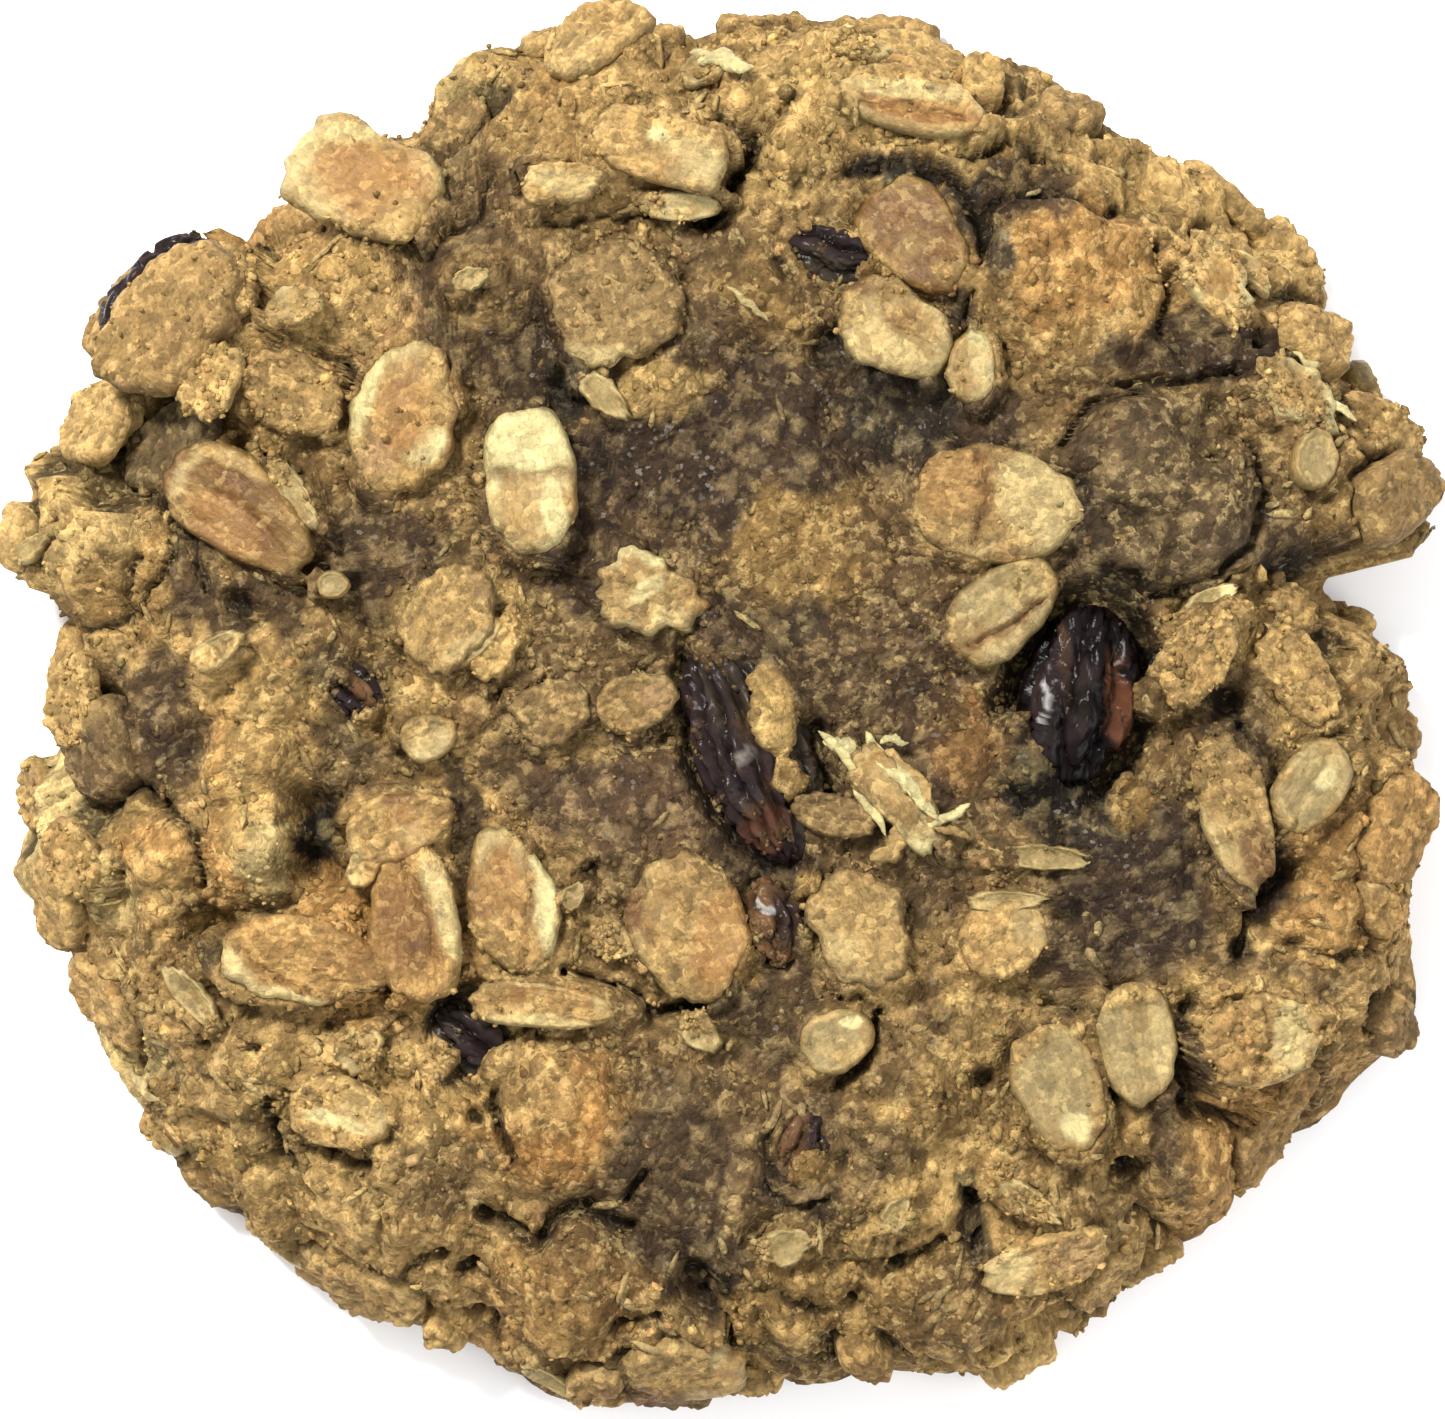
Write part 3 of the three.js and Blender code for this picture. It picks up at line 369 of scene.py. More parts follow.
# Flakes of the top: look, x, y, length, width, turn in degrees, lift, and tilt up at the end and at the side.
FLAKES = [
    ("slab", -19.2, 28.2, 8.8, 6.2, -30, 1.2, -6, -6), ("crust", -29.4, 20.8, 9.4, 6.4, 50, -0.3, 0, 0),
    ("sliver", -22.7, 21.4, 3.6, 2.4, 10, 1, 0, 0), ("dusty", -23.1, 16.8, 5.8, 4.6, -30, 0.5, 0, 0),
    ("golden", -17, 15.6, 8.8, 5.7, 78, 0.6, 0, 0), ("nutty", -25.8, 10.6, 9.4, 5.2, -38, 0.7, 0, 8),
    ("sliver", -22.9, 11.4, 4.8, 1.6, -53, 0.7, 0, 0), ("sliver", -13.5, 23, 2.2, 1.3, 20, 0.8, 0, 0),
    ("half", -3.2, 29.9, 7.6, 4.1, -20, 0.6, 0, 0), ("bright", -2.3, 27, 4.6, 1.7, -3, 1.1, 0, 15),
    ("chunk", -8.7, 28, 4.6, 2.4, 0, 0.9, 0, 0), ("sliver", -1, 34.2, 2.8, 1.7, 10, 0.5, 0, 0),
    ("toasted", 10.2, 32.5, 7.8, 3.8, -12, 0.6, 0, 0), ("sliver", 7.4, 35.3, 3.4, 1.3, -10, 0.4, 0, 0),
    ("nutty", 10.3, 25.2, 7.2, 4.8, -50, 0.9, 5, 6), ("golden", 9.2, 20.2, 6.8, 4.9, -30, 0.9, 0, -6),
    ("bright", 13.3, 18.3, 4, 2.7, 85, 0.9, 0, 0), ("dusty", -5.9, 21.7, 7, 6.3, 20, 0.5, 0, 0),
    ("sliver", -6.3, 16.7, 3.6, 1.8, -45, 0.5, 0, 0), ("bright", -10.3, 12.3, 8, 5, 97, 0.7, 0, 0),
    ("torn", 26.5, 22.7, 5.6, 3.4, -62, 1, 0, 0), ("sliver", 28.4, 23.3, 3.2, 1.4, -50, 1, 0, 0),
    ("torn", 30.6, 16.8, 5.8, 3.6, -40, 0.9, 0, 0), ("smooth", 31.7, 13.4, 3.4, 2.6, 80, 0.5, 0, 0),
    ("half", 14.6, 11, 9.2, 6.2, -8, 0.45, 0, 0), ("smooth", 15, 5.2, 6.8, 4.4, 42, 0.6, 0, 0),
    ("sliver", 26.2, 5.8, 3, 1.4, 30, 0.8, 10, 0), ("crumbed", 25.5, 2.9, 5.8, 3.8, 45, 0.7, 0, 0),
    ("dusty", 30.8, 1.8, 5.8, 3.4, -55, 0.5, 0, 0), ("smooth", 31.5, -4.1, 5.6, 3.7, 50, 0.6, 0, 0),
    ("half", 27.3, -5.5, 8.6, 3.8, -70, 0.5, 0, 0), ("sliver", 15.1, -10.3, 4.4, 1.2, 0, 1.3, 0, 0),
    ("golden", 15, -12.3, 5.2, 4.2, 30, 0.6, 0, 0), ("sliver", 17.5, -8, 5.2, 1.4, -5, 0.5, 0, 0),
    ("sliver", -27, 3.1, 3.3, 1.6, 30, 1, 0, 0), ("smooth", -20.8, 6.6, 1.8, 1.5, 0, 1.2, 0, 0),
    ("dusty", -14.6, 4.9, 6.4, 4.8, 60, 0.6, 0, 0), ("smooth", -13.6, 3.6, 4.2, 2.2, 30, 0.7, 0, 0),
    ("smooth", -15.7, -1.5, 3.2, 2.6, 20, 0.8, 0, 0), ("torn", -4.1, 6.1, 6, 4.4, -20, 0.6, 0, 0),
    ("crumbed", -9.2, -0.3, 4, 3.4, 20, 0.3, 0, 0), ("half", -4.7, 0.3, 4.6, 3.2, 20, 0.6, 0, 0),
    ("toasted", -17.3, -6.3, 6.2, 3.8, 22, 0.85, -8, 0), ("half", -19.1, -8.2, 3, 1.8, 62, 0.7, 0, 0),
    ("crumbed", -12.3, 3.2, 3.4, 2.4, 50, 0.6, 0, 0), ("caked", -22.4, -13.5, 9, 4.8, -8, 0.9, -5, 0),
    ("caked", -16.6, -11.4, 8.6, 5, 97, 1, 0, 5), ("toasted", -11.3, -10.4, 8.2, 4.8, 104, 0.8, 0, 5),
    ("sliver", -8, -10, 1.8, 1.2, 60, 0.5, 0, 0), ("golden", -1.8, -11.8, 8.2, 6, -70, 0.7, 0, 0),
    ("torn", -5.6, -12.6, 3.2, 1.8, 10, 0.4, 0, 0), ("chunk", 7.4, -11.7, 6.4, 4.8, -65, 0.9, 0, 0),
    ("torn", 9.1, -4.7, 6.8, 2.6, -54, 0.8, 0, 0), ("sliver", -28.3, -15.5, 4.8, 1.7, -50, 0.8, 0, 0),
    ("sliver", -19.5, -18.2, 2.8, 2.3, 40, 0.8, 0, 0), ("half", -20.5, -21.6, 5.6, 3.8, -15, 0.6, 0, 0),
    ("toasted", -9.6, -15.9, 8, 2.5, -5, 0.9, 0, 0), ("sliver", -9.3, -36.1, 4.2, 1.2, -42, 0.5, 0, 0),
    ("sliver", -1.2, -17.3, 2.6, 1.8, -50, 0.4, 0, 0), ("smooth", 6.1, -17.7, 4.2, 3.4, 30, 0.6, 0, 0),
    ("sliver", 3.4, -28.8, 3, 2.2, 20, 0.3, 0, 0), ("sliver", 9.3, -27, 2.2, 1.6, 60, 0.3, 0, 0),
    ("smooth", 18, -20.4, 7.4, 4.7, -71, 0.7, 0, 0), ("smooth", 22.2, -18, 6.6, 4.4, -80, 0.7, 0, 0),
    ("half", 28.8, -17.7, 6.8, 5, 15, 0.2, 0, 0), ("sliver", 16.5, -26.5, 4, 1.6, -33, 0.7, 0, 0),
    ("half", 17.2, -29.6, 7, 3.4, 194, 0.6, 0, 0), ("crumbed", -34.6, 0.5, 5.4, 3.2, 80, 0.5, 0, 0),
    ("crumbed", -34.8, -8.2, 4.8, 3.4, -60, 0.5, 0, 0), ("sliver", -36.9, 8.6, 3, 1.2, 20, 0.4, 0, 0),
    ("crumbed", -37, -4.6, 4, 2.6, 90, 0.2, 0, 0), ("dusty", 5.8, -5.7, 4.6, 2.4, -15, 0.5, 0, 0),
    ("crumbed", -27.1, 17.6, 4.4, 3, 60, 0.6, 0, 0), ("crumbed", -31.9, 15.1, 3.8, 2.6, 35, 0.4, 0, 0),
    ("crumbed", -26, 22.6, 3.4, 2.2, -70, 0.4, 0, 0),
]

# Marks on the flakes: colour, x, y, half sizes, turn in degrees, strength. Most are the flakes' own colours.
# The small bright spots at (-15.8, 14), (-3.5, 30.7) and (19, -22.4) and the cream streak at (23.7, -18)
# are painted highlights, and the dark dot at (-19.9, 27.2) is painted shade in a pit.
FLAKE_MARKS = [
    ("cream", -22.8, 29.6, 0.8, 2, -15, 0.8), ("cream", -20.4, 31, 2.4, 0.7, 5, 0.8),
    ("bark", -20, 29.7, 0.8, 0.5, 20, 0.9), ("orange", -19.2, 28, 3, 1.8, -30, 0.65),
    ("gold", -17.2, 26.4, 2.6, 1.3, -35, 0.9), ("orange", -16.6, 28.8, 0.9, 1.6, 20, 0.6),
    ("painted_shade", -19.9, 27.2, 0.3, 0.3, 0, 0.9), ("bright", -19.1, 17.2, 0.6, 2.4, -12, 0.8),
    ("bright", -15.8, 14, 1.3, 0.8, 45, 0.8), ("rose", -18.4, 13.3, 1.1, 1, 0, 0.7),
    ("orange", -17, 16, 1.4, 1.8, 0, 0.4), ("cream", -28.8, 12.6, 1.6, 0.35, 50, 0.7),
    ("gold", -26.2, 13.2, 2.2, 0.4, -25, 0.8), ("bark", -25.6, 10.2, 3, 0.5, -40, 0.35),
    ("bright", -10.3, 14.2, 2, 1.7, 0, 0.95), ("gold", -10.7, 10.9, 1.8, 1.5, 10, 0.6),
    ("bright", -9, 10.8, 0.6, 2, 10, 0.8), ("cream", 16.7, 11.6, 2.2, 2.3, 20, 0.65),
    ("olive", 15.4, 6.4, 2.2, 1, 42, 0.5), ("ochre", 13, 3.6, 1.4, 0.8, 42, 0.7),
    ("cream", -14.8, -11, 0.8, 3.3, 18, 0.95), ("toast", -17.2, -11.4, 1.7, 3, 12, 0.8),
    ("cream", -26.2, -14, 1.8, 0.8, -55, 0.9), ("cream", -23.4, -15.7, 2.8, 0.75, -14, 0.9),
    ("bright", -9.5, -10.2, 0.65, 3, 6, 0.9), ("orange", -11.6, -9.6, 0.9, 2.2, 10, 0.4),
    ("nut", -18.6, -12.4, 3, 2, 10, 0.7), ("toast", 12.6, 12, 2.2, 1.8, 10, 0.5),
    ("cream", 10.2, 19, 1.8, 1.2, -30, 0.6), ("orange", -17, 14.6, 1.2, 0.8, 0, 0.6),
    ("bark", 11.2, 26.4, 2, 1.4, -50, 0.4), ("cream", 8.4, 19.6, 2, 1.2, -20, 0.5),
    ("bark", 7.4, 22.8, 1.1, 0.7, -30, 0.7), ("orange", 0, -12.2, 1.5, 3, -15, 0.7),
    ("bark", -5, -10.8, 0.6, 1.2, 0, 0.8), ("bright", -3.5, 30.7, 0.6, 0.4, 0, 1),
    ("cream", -1.6, 29.6, 1.8, 0.8, -22, 0.6), ("cream", 10, 33.2, 3.2, 0.6, -8, 0.9),
    ("orange", 10.6, 31.8, 3, 0.8, -10, 0.5), ("bright", 19, -22.4, 0.9, 0.8, 0, 0.8),
    ("cream", 23.7, -18, 0.7, 2.2, 5, 0.6), ("cream", 30.5, -17.6, 1, 2.3, 0, 0.9),
    ("orange", 27.4, -17.8, 1.2, 1.6, 0, 0.4), ("rose", 18.8, -29.4, 1.6, 1, 0, 0.6),
    ("cream", 15.3, -30, 1.5, 0.9, 14, 0.7), ("bright", -4, 6.4, 1, 0.5, 35, 0.6),
    ("cream", -3.3, 4.4, 0.6, 0.9, 0, 0.6), ("rose", -3.5, 0.7, 1, 0.8, 0, 0.6),
    ("bright", 32.3, -3.7, 0.7, 0.5, 50, 0.8), ("bright", 6.8, -16.8, 0.6, 0.4, 0, 0.9),
    ("bright", -20.8, -22.1, 1.8, 0.4, -15, 0.8), ("cream", -10, -16.8, 3, 0.45, -4, 0.8),
    ("bright", 27.2, 6.2, 0.5, 0.4, 30, 1), ("cream", -15.6, -1.8, 1.2, 0.9, 20, 0.5),
    ("cream", -6.4, 18.9, 2.6, 0.6, -8, 0.7), ("bark", 28.6, -8, 0.9, 1.8, 15, 0.7),
    ("cream", -13.4, 3.4, 1.8, 0.6, 30, 0.5), ("amber", -16.4, -12.6, 0.3, 0.3, 0, 0.8),
    ("ochre", -29, 20.6, 4.6, 3, 50, 0.3), ("gold", -5.9, 21.7, 3, 2.8, 0, 0.15),
    ("orange", -26.6, 9.8, 2.4, 1.1, -38, 0.5), ("toast", -17, 15.8, 1.8, 2.8, 0, 0.35),
    ("orange", -19.4, 28.6, 2.4, 1.8, -30, 0.35), ("cream", -8.6, 28.2, 1.9, 0.7, -8, 0.7),
    ("gold", 7.4, -11.5, 2.4, 1.8, -60, 0.5), ("cream", 6.2, -12.8, 1, 0.9, 0, 0.5),
    ("bark", -4.8, -37.4, 2.8, 1, 0, 0.7), ("nut", -14.4, -6.4, 0.9, 1.6, 20, 0.6),
    ("cream", -20, -8.3, 0.9, 1.2, 20, 0.6), ("bark", -16.8, -11.4, 1.4, 2.8, 12, 0.4),
    ("toast", -19.6, 28, 2.2, 1.4, -30, 0.3), ("ochre", 36.8, 12.4, 3, 3.6, 0, 0.7),
    ("toast", -36.8, -4.8, 1.6, 2.2, 0, 0.5), ("gold", -34.4, 1.4, 2, 2.4, 0, 0.5),
]

# Grooves in the flakes: depth, width, then the points they run through.
FLAKE_GROOVES = [
    (0.35, 0.45, [(-12.8, 12.2), (-10.8, 12.6), (-8.2, 12.3)]),
    (0.2, 0.3, [(-28.8, 11.8), (-26, 11.2), (-23.6, 8.4)]),
    (0.5, 0.35, [(13.2, 3.4), (15, 4.2), (17.1, 5.6)]),
    (0.4, 0.4, [(13.6, 13.8), (14.2, 11.4), (13.4, 9)]),
    (0.35, 0.35, [(28.8, -15.4), (29.2, -17.6), (28.6, -20)]),
    (0.35, 0.35, [(-17, -8.4), (-15.8, -10.8), (-15.2, -13.8)]),
    (0.35, 0.35, [(-25.6, -13), (-23.4, -14.8), (-20.4, -15.6)]),
    (0.35, 0.35, [(-10.4, -7), (-10.3, -10.2), (-10.8, -13.4)]),
    (0.3, 0.35, [(8.6, 22.6), (8.8, 20.6), (11.4, 19)]),
    (0.4, 0.4, [(-4.4, -9.4), (-4.6, -11.2), (-3.6, -12.6)]),
    (0.3, 0.3, [(7, 32.4), (10, 32.4), (13, 31.6)]),
]

# Strips and shreds: colour, width, thickness, lift, then the points they run through.
STRIPS = [
    ("bright", 0.7, 0.5, 1.4, [(5, -1.3), (6.2, -2.1), (7.1, -3.6), (7.5, -4.8), (8.7, -6.8)]),
    ("bright", 0.8, 0.4, 1.3, [(5.3, -1.9), (6.6, -2), (7.4, -2.8)]),
    ("bright", 0.9, 0.5, 1.4, [(7.5, -1.3), (8.7, -3), (10.1, -4.2), (11.4, -6.1)]),
    ("gold", 0.9, 0.5, 1.2, [(8.2, -2.2), (9.6, -3), (10.9, -4.6), (11, -6.4)]),
    ("bright", 0.5, 0.4, 1.2, [(10.6, -6.3), (11.8, -6), (13.2, -5)]),
    ("gold", 0.5, 0.4, 1.1, [(11, -6.4), (12.4, -6.5), (13.2, -6.9)]),
    ("bright", 0.45, 0.3, 1.1, [(8.4, -1.9), (9, -1.5), (9.9, -1.9)]),
    ("gold", 1.1, 0.5, 1, [(8, -8.3), (9.3, -7.2), (9.7, -5.2)]),
    ("gold", 0.8, 0.5, 1, [(10.4, -7.8), (10, -6.4), (9.4, -4.8)]),
    ("bright", 0.5, 0.3, 1.1, [(30.6, 19.2), (31.6, 18.4), (33.2, 19.1)]),
    ("bright", 0.7, 0.4, 1.2, [(30.8, 17.6), (32.4, 16.4), (34, 15.4)]),
    ("cream", 0.6, 0.4, 0.9, [(29, 4.6), (31, 3.4), (32.4, 1.6), (32.4, 0.2)]),
    ("cream", 0.4, 0.3, 0.6, [(0.2, 22.6), (1.2, 21.8), (2.5, 20.7)]),
    ("cream", 0.6, 0.4, 0.3, [(-32, -19.3), (-31.2, -20.4), (-30.2, -21)]),
    ("bright", 1.1, 0.6, 0.9, [(-1.8, 35.2), (-0.1, 34.9), (1.6, 34.3)]),
]

# ---- Repeatable noise ----------------------------------------------------------------------------

# The last value given to a noise function is its salt: a whole number that sets one noise apart from another.

PRIMES = np.array([73856093, 19349663, 83492791], dtype=np.int64)
SALT_STEP = 974711
MIXER = 0x45D9F3B
LAYERS = 3
LAYER_SHARE = 0.55
MASK = 0xFFFFFFFF
CORNERS = np.array([(i, j, k) for i in (0, 1) for j in (0, 1) for k in (0, 1)])
NEIGHBOURS = np.array([(i, j, k) for i in (-1, 0, 1) for j in (-1, 0, 1) for k in (-1, 0, 1)])


def hashed(cell, salt):
    """A repeatable value from 0 to 1 for each cell of a whole-number lattice."""
    mixed = (cell @ PRIMES + salt * SALT_STEP) & MASK
    for _ in range(2):
        mixed = ((mixed ^ (mixed >> 16)) * MIXER) & MASK
    return (mixed ^ (mixed >> 16)) / (MASK + 1.0)


def soft_noise(points, size, salt):
    """Smooth noise from -1 to 1, in blobs of about `size`."""
    scaled = points / size
    base = np.floor(scaled).astype(np.int64)
    part = scaled - base
    part = part * part * (3 - 2 * part)
    total = np.zeros(len(points))
    for corner in CORNERS:
        weight = np.prod(np.where(corner == 1, part, 1 - part), axis=-1)
        total += weight * hashed(base + corner, salt)
    return 2 * total - 1


def layered_noise(points, size, salt):
    """Smooth noise with finer and weaker layers added to it."""
    shares = [LAYER_SHARE**layer for layer in range(LAYERS)]
    noise = sum(share * soft_noise(points, size * 0.5**i, salt + 7 * i) for i, share in enumerate(shares))
    return noise / sum(shares)


def cell_noise(points, size, salt):
    """Uneven cells of about `size` round middles of their own.

    Gives the distances to the nearest and second nearest middle, in cell sizes, the nearest cell's own value,
    and the height of a plane of its own through its middle.
    """
    scaled = points / size
    base = np.floor(scaled).astype(np.int64)
    nearest = np.full(len(points), 9.0)
    second = nearest.copy()
    tint = np.zeros(len(points))
    tilt = np.zeros(len(points))
    for offset in NEIGHBOURS:
        cell = base + offset
        middle = cell + np.stack([hashed(cell, salt + axis) for axis in range(3)], axis=-1)
        slope = np.stack([hashed(cell, salt + 4 + axis) for axis in range(3)], axis=-1) - 0.5
        distance = np.linalg.norm(scaled - middle, axis=-1)
        closer = distance < nearest
        second = np.where(closer, nearest, np.minimum(second, distance))
        tint = np.where(closer, hashed(cell, salt + 3), tint)
        tilt = np.where(closer, ((scaled - middle) * slope).sum(axis=-1), tilt)
        nearest = np.minimum(nearest, distance)
    return nearest, second, tint, tilt


def pillows(near, second, sharpness, power):
    """Rounded tops over cells, from 0 in the seams between them to 1."""
    return np.clip(sharpness * (second - near), 0, 1) ** power


def ragged(points, size, reach, salt):
    """The points moved about by noise, so that what is laid out over them gets an uneven edge."""
    return points + reach * np.stack([soft_noise(points, size, salt + axis) for axis in range(3)], axis=-1)


def frayed(points, frays):
    """The points moved about by noise once for each size, reach and salt."""
    for size, reach, salt in frays:
        points = ragged(points, size, reach, salt)
    return points


def smoothstep(low, high, value):
    """0 at low, 1 at high, and a smooth rise or fall between them."""
    part = np.clip((value - low) / (high - low), 0, 1)
    return part * part * (3 - 2 * part)


def blend(first, second, share):
    """From the first colour, at share 0, to the second, at share 1."""
    return first + (second - first) * share[:, None]


def linear(name):
    """The surface colour that shows as a palette colour under the scene's bright light, as linear light."""
    share = np.array(PALETTE[name]) / 255
    return OWN_SHARE * np.where(share <= 0.04045, share / 12.92, ((share + 0.055) / 1.055) ** 2.4)


# ---- The smooth dome -----------------------------------------------------------------------------


SECTION_STEPS = 4000
SHARE_STEPS = 1001


def section_table():
    """Even shares of the section's length, with the reach and height there."""
    knots = SECTION * (BASE_RADIUS, CROWN_HEIGHT)
    last = len(knots) - 1
    at = np.linspace(0, last, SECTION_STEPS)
    index = np.minimum(at.astype(int), last - 1)
    t = (at - index)[:, None]
    before, start = knots[np.maximum(index - 1, 0)], knots[index]
    end, after = knots[index + 1], knots[np.minimum(index + 2, last)]
    cubic = 3 * (start - end) + after - before
    square = 2 * before - 5 * start + 4 * end - after
    curve = start + 0.5 * t * (end - before + t * (square + t * cubic))
    length = np.append(0, np.cumsum(np.linalg.norm(np.diff(curve, axis=0), axis=-1)))
    shares = np.linspace(0, 1, SHARE_STEPS)
    reach = np.interp(shares * length[-1], length, curve[:, 0])
    height = np.interp(shares * length[-1], length, curve[:, 1])
    return shares, reach, height


SHARES, REACHES, HEIGHTS = section_table()
SLOPES = np.stack([np.gradient(REACHES), np.gradient(HEIGHTS)], axis=-1)
SLOPES /= np.linalg.norm(SLOPES, axis=-1, keepdims=True)
WIDEST = int(np.argmax(REACHES))


def outline_radius(bearing):
    """The radius of the outline at bearings in radians."""
    radius = np.full(np.shape(bearing), BASE_RADIUS)
    for at, reach, half_width in LOBES:
        apart = (np.degrees(bearing) - at + 180) % 360 - 180
        radius = radius + reach * np.exp(-((apart / half_width) ** 2))
    return radius


def smooth_surface(bearing, share):
    """Points of the smooth dome and its outward directions there."""
    reach = np.interp(share, SHARES, REACHES) * outline_radius(bearing) / BASE_RADIUS
    height = np.interp(share, SHARES, HEIGHTS)
    outward = -np.interp(share, SHARES, SLOPES[:, 1])
    upward = np.interp(share, SHARES, SLOPES[:, 0])
    points = np.stack([reach * np.cos(bearing), reach * np.sin(bearing), height], axis=-1)
    normals = np.stack([outward * np.cos(bearing), outward * np.sin(bearing), upward], axis=-1)
    return points, normals / np.linalg.norm(normals, axis=-1, keepdims=True)


def over_top(x, y):
    """The point of the smooth dome over a place in plan, and the outward direction there."""
    bearing = np.arctan2(y, x)
    reach = np.hypot(x, y) * BASE_RADIUS / outline_radius(bearing)
    share = np.interp(reach, REACHES[:WIDEST], SHARES[:WIDEST])
    return smooth_surface(bearing, share)


# ---- Relief of the dough -------------------------------------------------------------------------

# How the edges of lumps, cracks, patches, covers, marks, and the raisins' stains and painted highlights
# are frayed: size, reach and salt of noise.
LUMP_FRAY = [(2.6, 0.45, 11)]
CRACK_FRAY = [(0.9, 0.28, 23)]
PATCH_FRAY = [(2.4, 1.1, 31), (0.9, 0.5, 37), (0.35, 0.2, 39)]
COVER_FRAY = [(0.7, 0.35, 33)]
PIT_FRAY = [(0.8, 0.2, 71)]
MARK_FRAY = [(0.9, 0.25, 251)]
RAISIN_MARK_FRAY = [(0.7, 0.35, 513)]

FOOT_FADE = (0.4, 4)
RIPPLE_HEIGHT = 0.32
RIM_TRIM = 0.45
KNOB_SHARE = 0.75


def domes(points, places):
    """The highest of many low domes at each point: full at its middle, none from its radius on."""
    highest = np.zeros(len(points))
    for x, y, radius, height in places:
        centre = over_top(x, y)[0]
        nearness = 1 - ((points - centre) ** 2).sum(axis=-1) / radius**2
        highest = np.maximum(highest, height * nearness)
    return highest


def main_relief(points):
    """How far the dough's lumps and hollows stand out of the smooth dome: the form of the CAD part."""
    uneven = frayed(points, LUMP_FRAY)
    raised = domes(uneven, LUMPS) + KNOB_SHARE * domes(uneven, KNOBS)
    sunk = domes(uneven, HOLLOWS)
    x, y, z = points.T
    ripple = np.sin(0.93 * x + 1.3 * z) * np.sin(0.81 * y - 0.6 * z) + np.sin(0.47 * (x - y) + z)
    trim = RIM_TRIM * smoothstep(9, 5, z)
    return (raised - sunk + RIPPLE_HEIGHT * ripple - trim) * smoothstep(*FOOT_FADE, z)


def patch_weight(points, x, y, half_x, half_y, turn):
    """1 within an oval over a place in plan, fading to 0 round it."""
    c, s = math.cos(math.radians(turn)), math.sin(math.radians(turn))
    u = ((points[:, 0] - x) * c + (points[:, 1] - y) * s) / half_x
    v = ((points[:, 1] - y) * c - (points[:, 0] - x) * s) / half_y
    return smoothstep(1.2, 0.8, np.hypot(u, v))


def painted(tone, points, patches):
    """The tone with patches of palette colours laid over it in turn."""
    for colour, *oval, strength in patches:
        tone = blend(tone, linear(colour), strength * patch_weight(points, *oval))
    return tone


def crack_depth(points, cracks):
    """Depth of cracks or grooves at each point."""
    uneven = frayed(points, CRACK_FRAY)[:, :2]
    deepest = np.zeros(len(points))
    for depth, width, route in cracks:
        corners = np.array(route, float)
        for start, end in zip(corners[:-1], corners[1:]):
            step = end - start
            along = np.clip((uneven - start) @ step / (step @ step), 0, 1)
            apart = np.linalg.norm(uneven - start - along[:, None] * step, axis=-1)
            deepest = np.maximum(deepest, depth * smoothstep(width, 0.1 * width, apart))
    return deepest


def cover_share(points):
    """How much each point belongs to the crumb baked over a raisin."""
    uneven = frayed(points, COVER_FRAY)
    share = np.zeros(len(points))
    for _, *oval, strength in COVERS:
        share = np.maximum(share, strength * patch_weight(uneven, *oval))
    return share


def dark_share(points):
    """How much each point belongs to the dark, moist dough, with the painted shade patches counted in."""
    uneven = frayed(points, PATCH_FRAY)
    share = np.zeros(len(points))
    for colour, *oval, strength in PATCHES:
        if colour in DARK_TONES:
            share = np.maximum(share, strength * patch_weight(uneven, *oval))
    return share * (1 - cover_share(points))


# ---- Closed discs: the mesh layout of the dough, each flake and each raisin ----------------------


def square_grid(count):
    """A square grid wrapped to a disc: ring (0 in the middle, 1 at the edge) and bearing of its points."""
    line = np.linspace(-1, 1, count + 1)
    u, v = [axis.ravel() for axis in np.meshgrid(line, line, indexing="ij")]
    ring = np.maximum(abs(u), abs(v))
    safe_u, safe_v = np.where(u == 0, 1, u), np.where(v == 0, 1, v)
    sideways = math.pi / 4 * v / safe_u + np.where(u < 0, math.pi, 0)
    lengthways = math.pi / 2 - math.pi / 4 * u / safe_v + np.where(v < 0, math.pi, 0)
    bearing = np.where(abs(u) > abs(v), sideways, lengthways)
    corner = np.arange(count * (count + 1)).reshape(count, count + 1)[:, :-1].ravel()
    quads = np.stack([corner, corner + count + 1, corner + count + 2, corner + 1], axis=-1)
    return ring, bearing, quads


def grid_edge(count):
    """The grid's edge points, anticlockwise from the corner at a bearing of -45 degrees."""
    step = count + 1
    right = count * step + np.arange(count)
    back = np.arange(count, 0, -1) * step + count
    left = np.arange(count, 0, -1)
    front = np.arange(count) * step
    return np.concatenate([right, back, left, front])


LIP = 0.06


def closed_disc(count):
    """A disc with a fine upper and a coarser lower side, joined round its edge.

    The ring runs from 0 in the upper middle over 1 at the edge to 2 in the lower middle. `count` is a
    multiple of 4; the faces point outwards once the disc has thickness.
    """
    ring, bearing, quads = square_grid(count)
    low_ring, low_bearing, low_quads = square_grid(count // 4)
    loop_bearing = -math.pi / 4 + FULL_TURN * np.arange(2 * count) / (2 * count)
    loop_start = len(ring)
    low_start = loop_start + len(loop_bearing)
    edge = grid_edge(count)
    loop = loop_start + np.arange(2 * count)
    low_edge = low_start + grid_edge(count // 4)
    faces = quads.tolist()
    for outer, inner in ((edge, loop), (loop, low_edge)):
        a0, a1, a2 = outer[0::2], outer[1::2], np.roll(outer, -2)[0::2]
        b0, b1 = inner, np.roll(inner, -1)
        for triangle in ((a1, a0, b0), (a1, b0, b1), (a2, a1, b1)):
            faces += np.stack(triangle, axis=-1).tolist()
    faces += (low_start + low_quads[:, ::-1]).tolist()
    rings = np.concatenate([ring, np.full(2 * count, 1 + LIP), 2 - (1 - 2 * LIP) * low_ring])
    return rings, np.concatenate([bearing, loop_bearing, low_bearing]), faces


